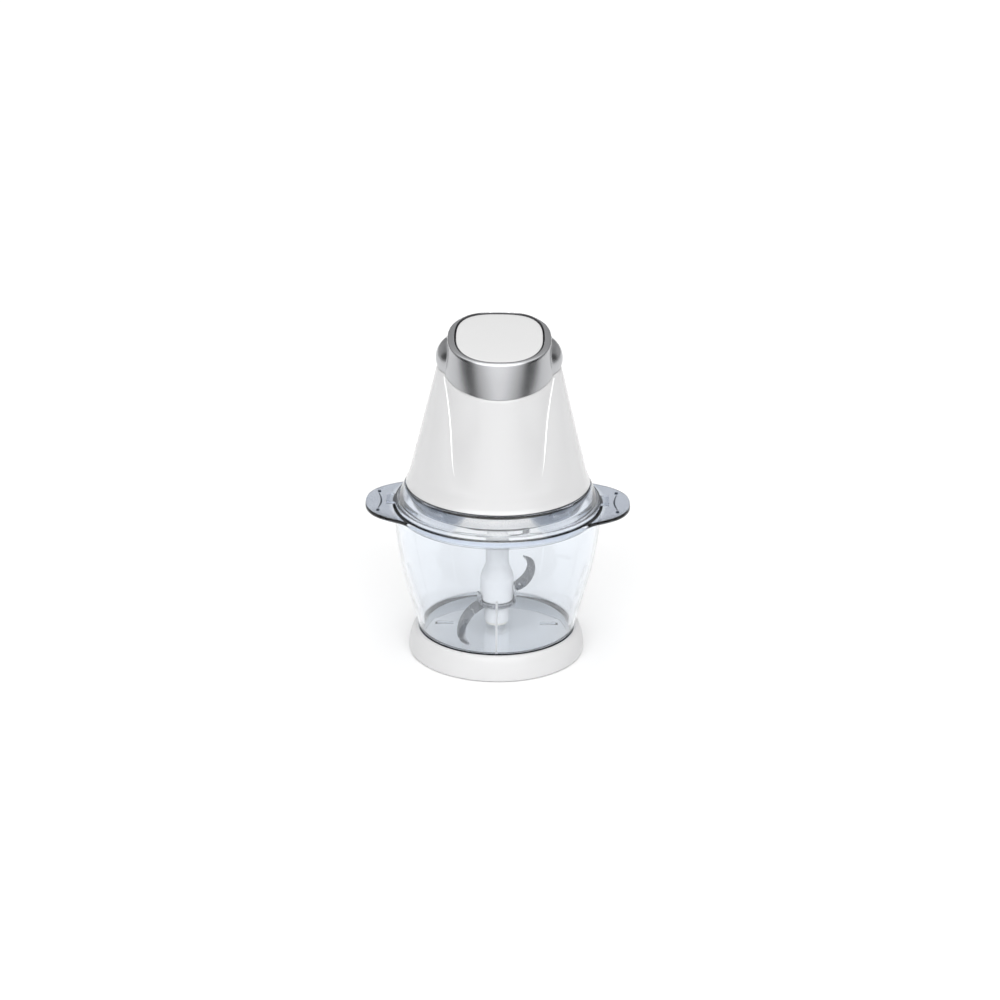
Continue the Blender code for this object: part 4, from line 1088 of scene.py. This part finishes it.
def make_bottom_cover():
    """The cover under the motor unit, with its screw holes, the drive socket by it, and a dark ring of
    painted shade under the housing's edge.
    """
    look = plastic("cover_plastic", (0.86, 0.86, 0.865), (0.25, 0.35))
    profile = [(COVER_R, COVER_TOP_Z), (61.4, COVER_Z), (13.9, COVER_Z), (13.9, 131.0), (16.0, 131.0),
               (16.0, 124.2), (59.2, 124.2), (63.8, COVER_TOP_Z)]
    cover = turned("cover_shell", profile, look, "motor_unit", ["bottom_cover"], ease=0.5)
    holes = []
    for degrees in BOSS_ANGLES:
        angle = radians(degrees)
        at = (BOSS_RING_R * cos(angle), BOSS_RING_R * sin(angle))
        holes.append(prism(f"screw_hole_{degrees}", polygon(3.4, 32, at), 120, 126))
    combine(cover, "DIFFERENCE", holes)
    # Painted shade: a dark ring in the gap under the housing's edge, where the shadow line falls.
    gap_shade_look = plastic("gap_shade_dark", (0.045, 0.048, 0.056), (0.5, 0.6))
    out_r, low_z, high_z = high("housing_gasket").x, low("housing_gasket").z, high("housing_gasket").z
    in_r = out_r - 2.3
    turned("gap_shade_ring", [(out_r, high_z), (out_r, low_z), (in_r, low_z), (in_r, high_z)], gap_shade_look,
           "motor_unit", ["housing_gasket"], ease=0.1)
    dark = plastic("socket_plastic", (0.09, 0.09, 0.10), (0.4, 0.5))
    top = high("drive_socket").z
    socket = turned("socket_cup", [(0, top), (10.3, top), (10.3, COVER_Z), (0, COVER_Z)], dark, "output",
                    ["drive_socket"], ease=0.4, count=MEDIUM)
    hexagon = prism("socket_hex", polygon(DRIVE_HEX_R + 0.45, 6), 119.0, DRIVE_TOP_Z + 0.4)
    combine(socket, "DIFFERENCE", [hexagon])


# ---- inner pieces that keep their shape


def dress_inner_nodes():
    """Gives every CAD node that still shows its material, by the record's material slot."""
    looks = {
        "bright_steel": metal("turned_steel", (0.66, 0.66, 0.68), (0.15, 0.25), stretch=(0.05, 0.05, 1)),
        "laminated_steel": metal("lamination_steel", (0.30, 0.31, 0.33), (0.35, 0.5), stretch=(0.02, 0.02, 1),
                                 grain=2500, depth_mm=0.05),
        "copper_wire": windings("copper_windings"),
        "brass": metal("turned_brass", (0.72, 0.52, 0.22), (0.25, 0.35), stretch=(0.05, 0.05, 1)),
        "nylon": plastic("gear_nylon", (0.76, 0.75, 0.70), (0.35, 0.45)),
        "dark_plastic": plastic("dark_plastic", (0.06, 0.06, 0.065), (0.35, 0.5)),
        "carbon": plastic("graphite", (0.03, 0.03, 0.032), (0.5, 0.7), depth_mm=0.03),
        "cover_white": plastic("inner_white", (0.82, 0.82, 0.82), (0.3, 0.4)),
    }
    for part in frame["record"]["subparts"]:
        node = frame["nodes"][part["node"]]
        look = looks.get(part["material_slot"])
        if look:
            node.data.materials.clear()
            node.data.materials.append(look)


# ---- stage, world and camera


def make_stage():
    """A wide pale floor."""
    made = bmesh.new()
    bmesh.ops.create_grid(made, x_segments=1, y_segments=1, size=8.0)
    look, _, _, shader = shader_of("floor_paper")
    shader.inputs["Base Color"].default_value = (0.97, 0.97, 0.97, 1)
    shader.inputs["Roughness"].default_value = 0.9
    shader.inputs["Specular IOR Level"].default_value = 0.1
    finished("studio_floor", made, look)


def ramp(nodes, link, bearing, levels):
    """A grey level at each bearing, from (degrees, level) pairs that run from 0 to 180."""
    share = nodes.new("ShaderNodeMapRange")
    share.inputs["From Max"].default_value = pi
    link(bearing, share.inputs["Value"])
    node = nodes.new("ShaderNodeValToRGB")
    link(share.outputs["Result"], node.inputs["Fac"])
    stops = node.color_ramp.elements
    for stop, (degrees, level) in zip(stops, (levels[0], levels[-1])):
        stop.position = degrees / 180
        stop.color = (level, level, level, 1)
    for degrees, level in levels[1:-1]:
        stops.new(degrees / 180).color = (level, level, level, 1)
    return node.outputs["Color"]


def fade(nodes, link, rise, elevations, below, above):
    """One colour gives way to the other between two elevations in degrees."""
    levels = [sin(radians(elevation)) for elevation in elevations]
    return mixed(nodes, link, eased(nodes, link, rise, *levels), below, above)


def make_world():
    """A pale studio, the only light there is. It is brightest halfway up at the front, and has a dark
    strip near the horizon at each side, which gives the metal its bands and the plastic its edges."""
    world = bpy.data.worlds.new("studio")
    bpy.context.scene.world = world
    world.use_nodes = True
    nodes, link = world.node_tree.nodes, world.node_tree.links.new
    direction = nodes.new("ShaderNodeTexCoord")
    axes = nodes.new("ShaderNodeSeparateXYZ")
    link(direction.outputs["Generated"], axes.inputs["Vector"])
    aside = worked_out(nodes, link, "ABSOLUTE", axes.outputs["X"])
    ahead = worked_out(nodes, link, "MULTIPLY", axes.outputs["Y"], -1)
    bearing = worked_out(nodes, link, "ARCTAN2", aside, ahead)
    near = ramp(nodes, link, bearing, HORIZON)
    halfway = ramp(nodes, link, bearing, HALFWAY)
    sky = fade(nodes, link, axes.outputs["Z"], HORIZON_TOP, near, halfway)
    overhead = nodes.new("ShaderNodeRGB")
    overhead.outputs[0].default_value = (OVERHEAD, OVERHEAD, OVERHEAD, 1)
    sky = fade(nodes, link, axes.outputs["Z"], HALFWAY_TOP, sky, overhead.outputs[0])
    link(sky, nodes["Background"].inputs["Color"])
    nodes["Background"].inputs["Strength"].default_value = 1.0


def make_camera():
    """The camera stands well back with a long lens and looks down a little."""
    distance, elevation, roll = 2.6, radians(22.2), radians(0.6)
    aim = Vector((0.00166, 0, 0.121))
    middle = Vector((0, 0, 0.128))
    place = middle + distance * Vector((0, -cos(elevation), sin(elevation)))
    camera = bpy.data.cameras.new("camera")
    camera.lens = 123.97
    camera.sensor_width = 36
    obj = bpy.data.objects.new("camera", camera)
    bpy.context.scene.collection.objects.link(obj)
    looking = (aim - place).to_track_quat("-Z", "Y").to_matrix().to_4x4()
    obj.matrix_world = Matrix.Translation(place) @ looking @ Matrix.Rotation(roll, 4, "Z")
    bpy.context.scene.camera = obj


make_foot()
make_bowl()
make_lid()
make_hub()
make_blades()
make_housing()
make_collar()
make_button()
make_button_spring()
make_bottom_cover()
dress_inner_nodes()
make_stage()
make_world()
make_camera()
bpy.context.scene.view_settings.view_transform = "Standard"
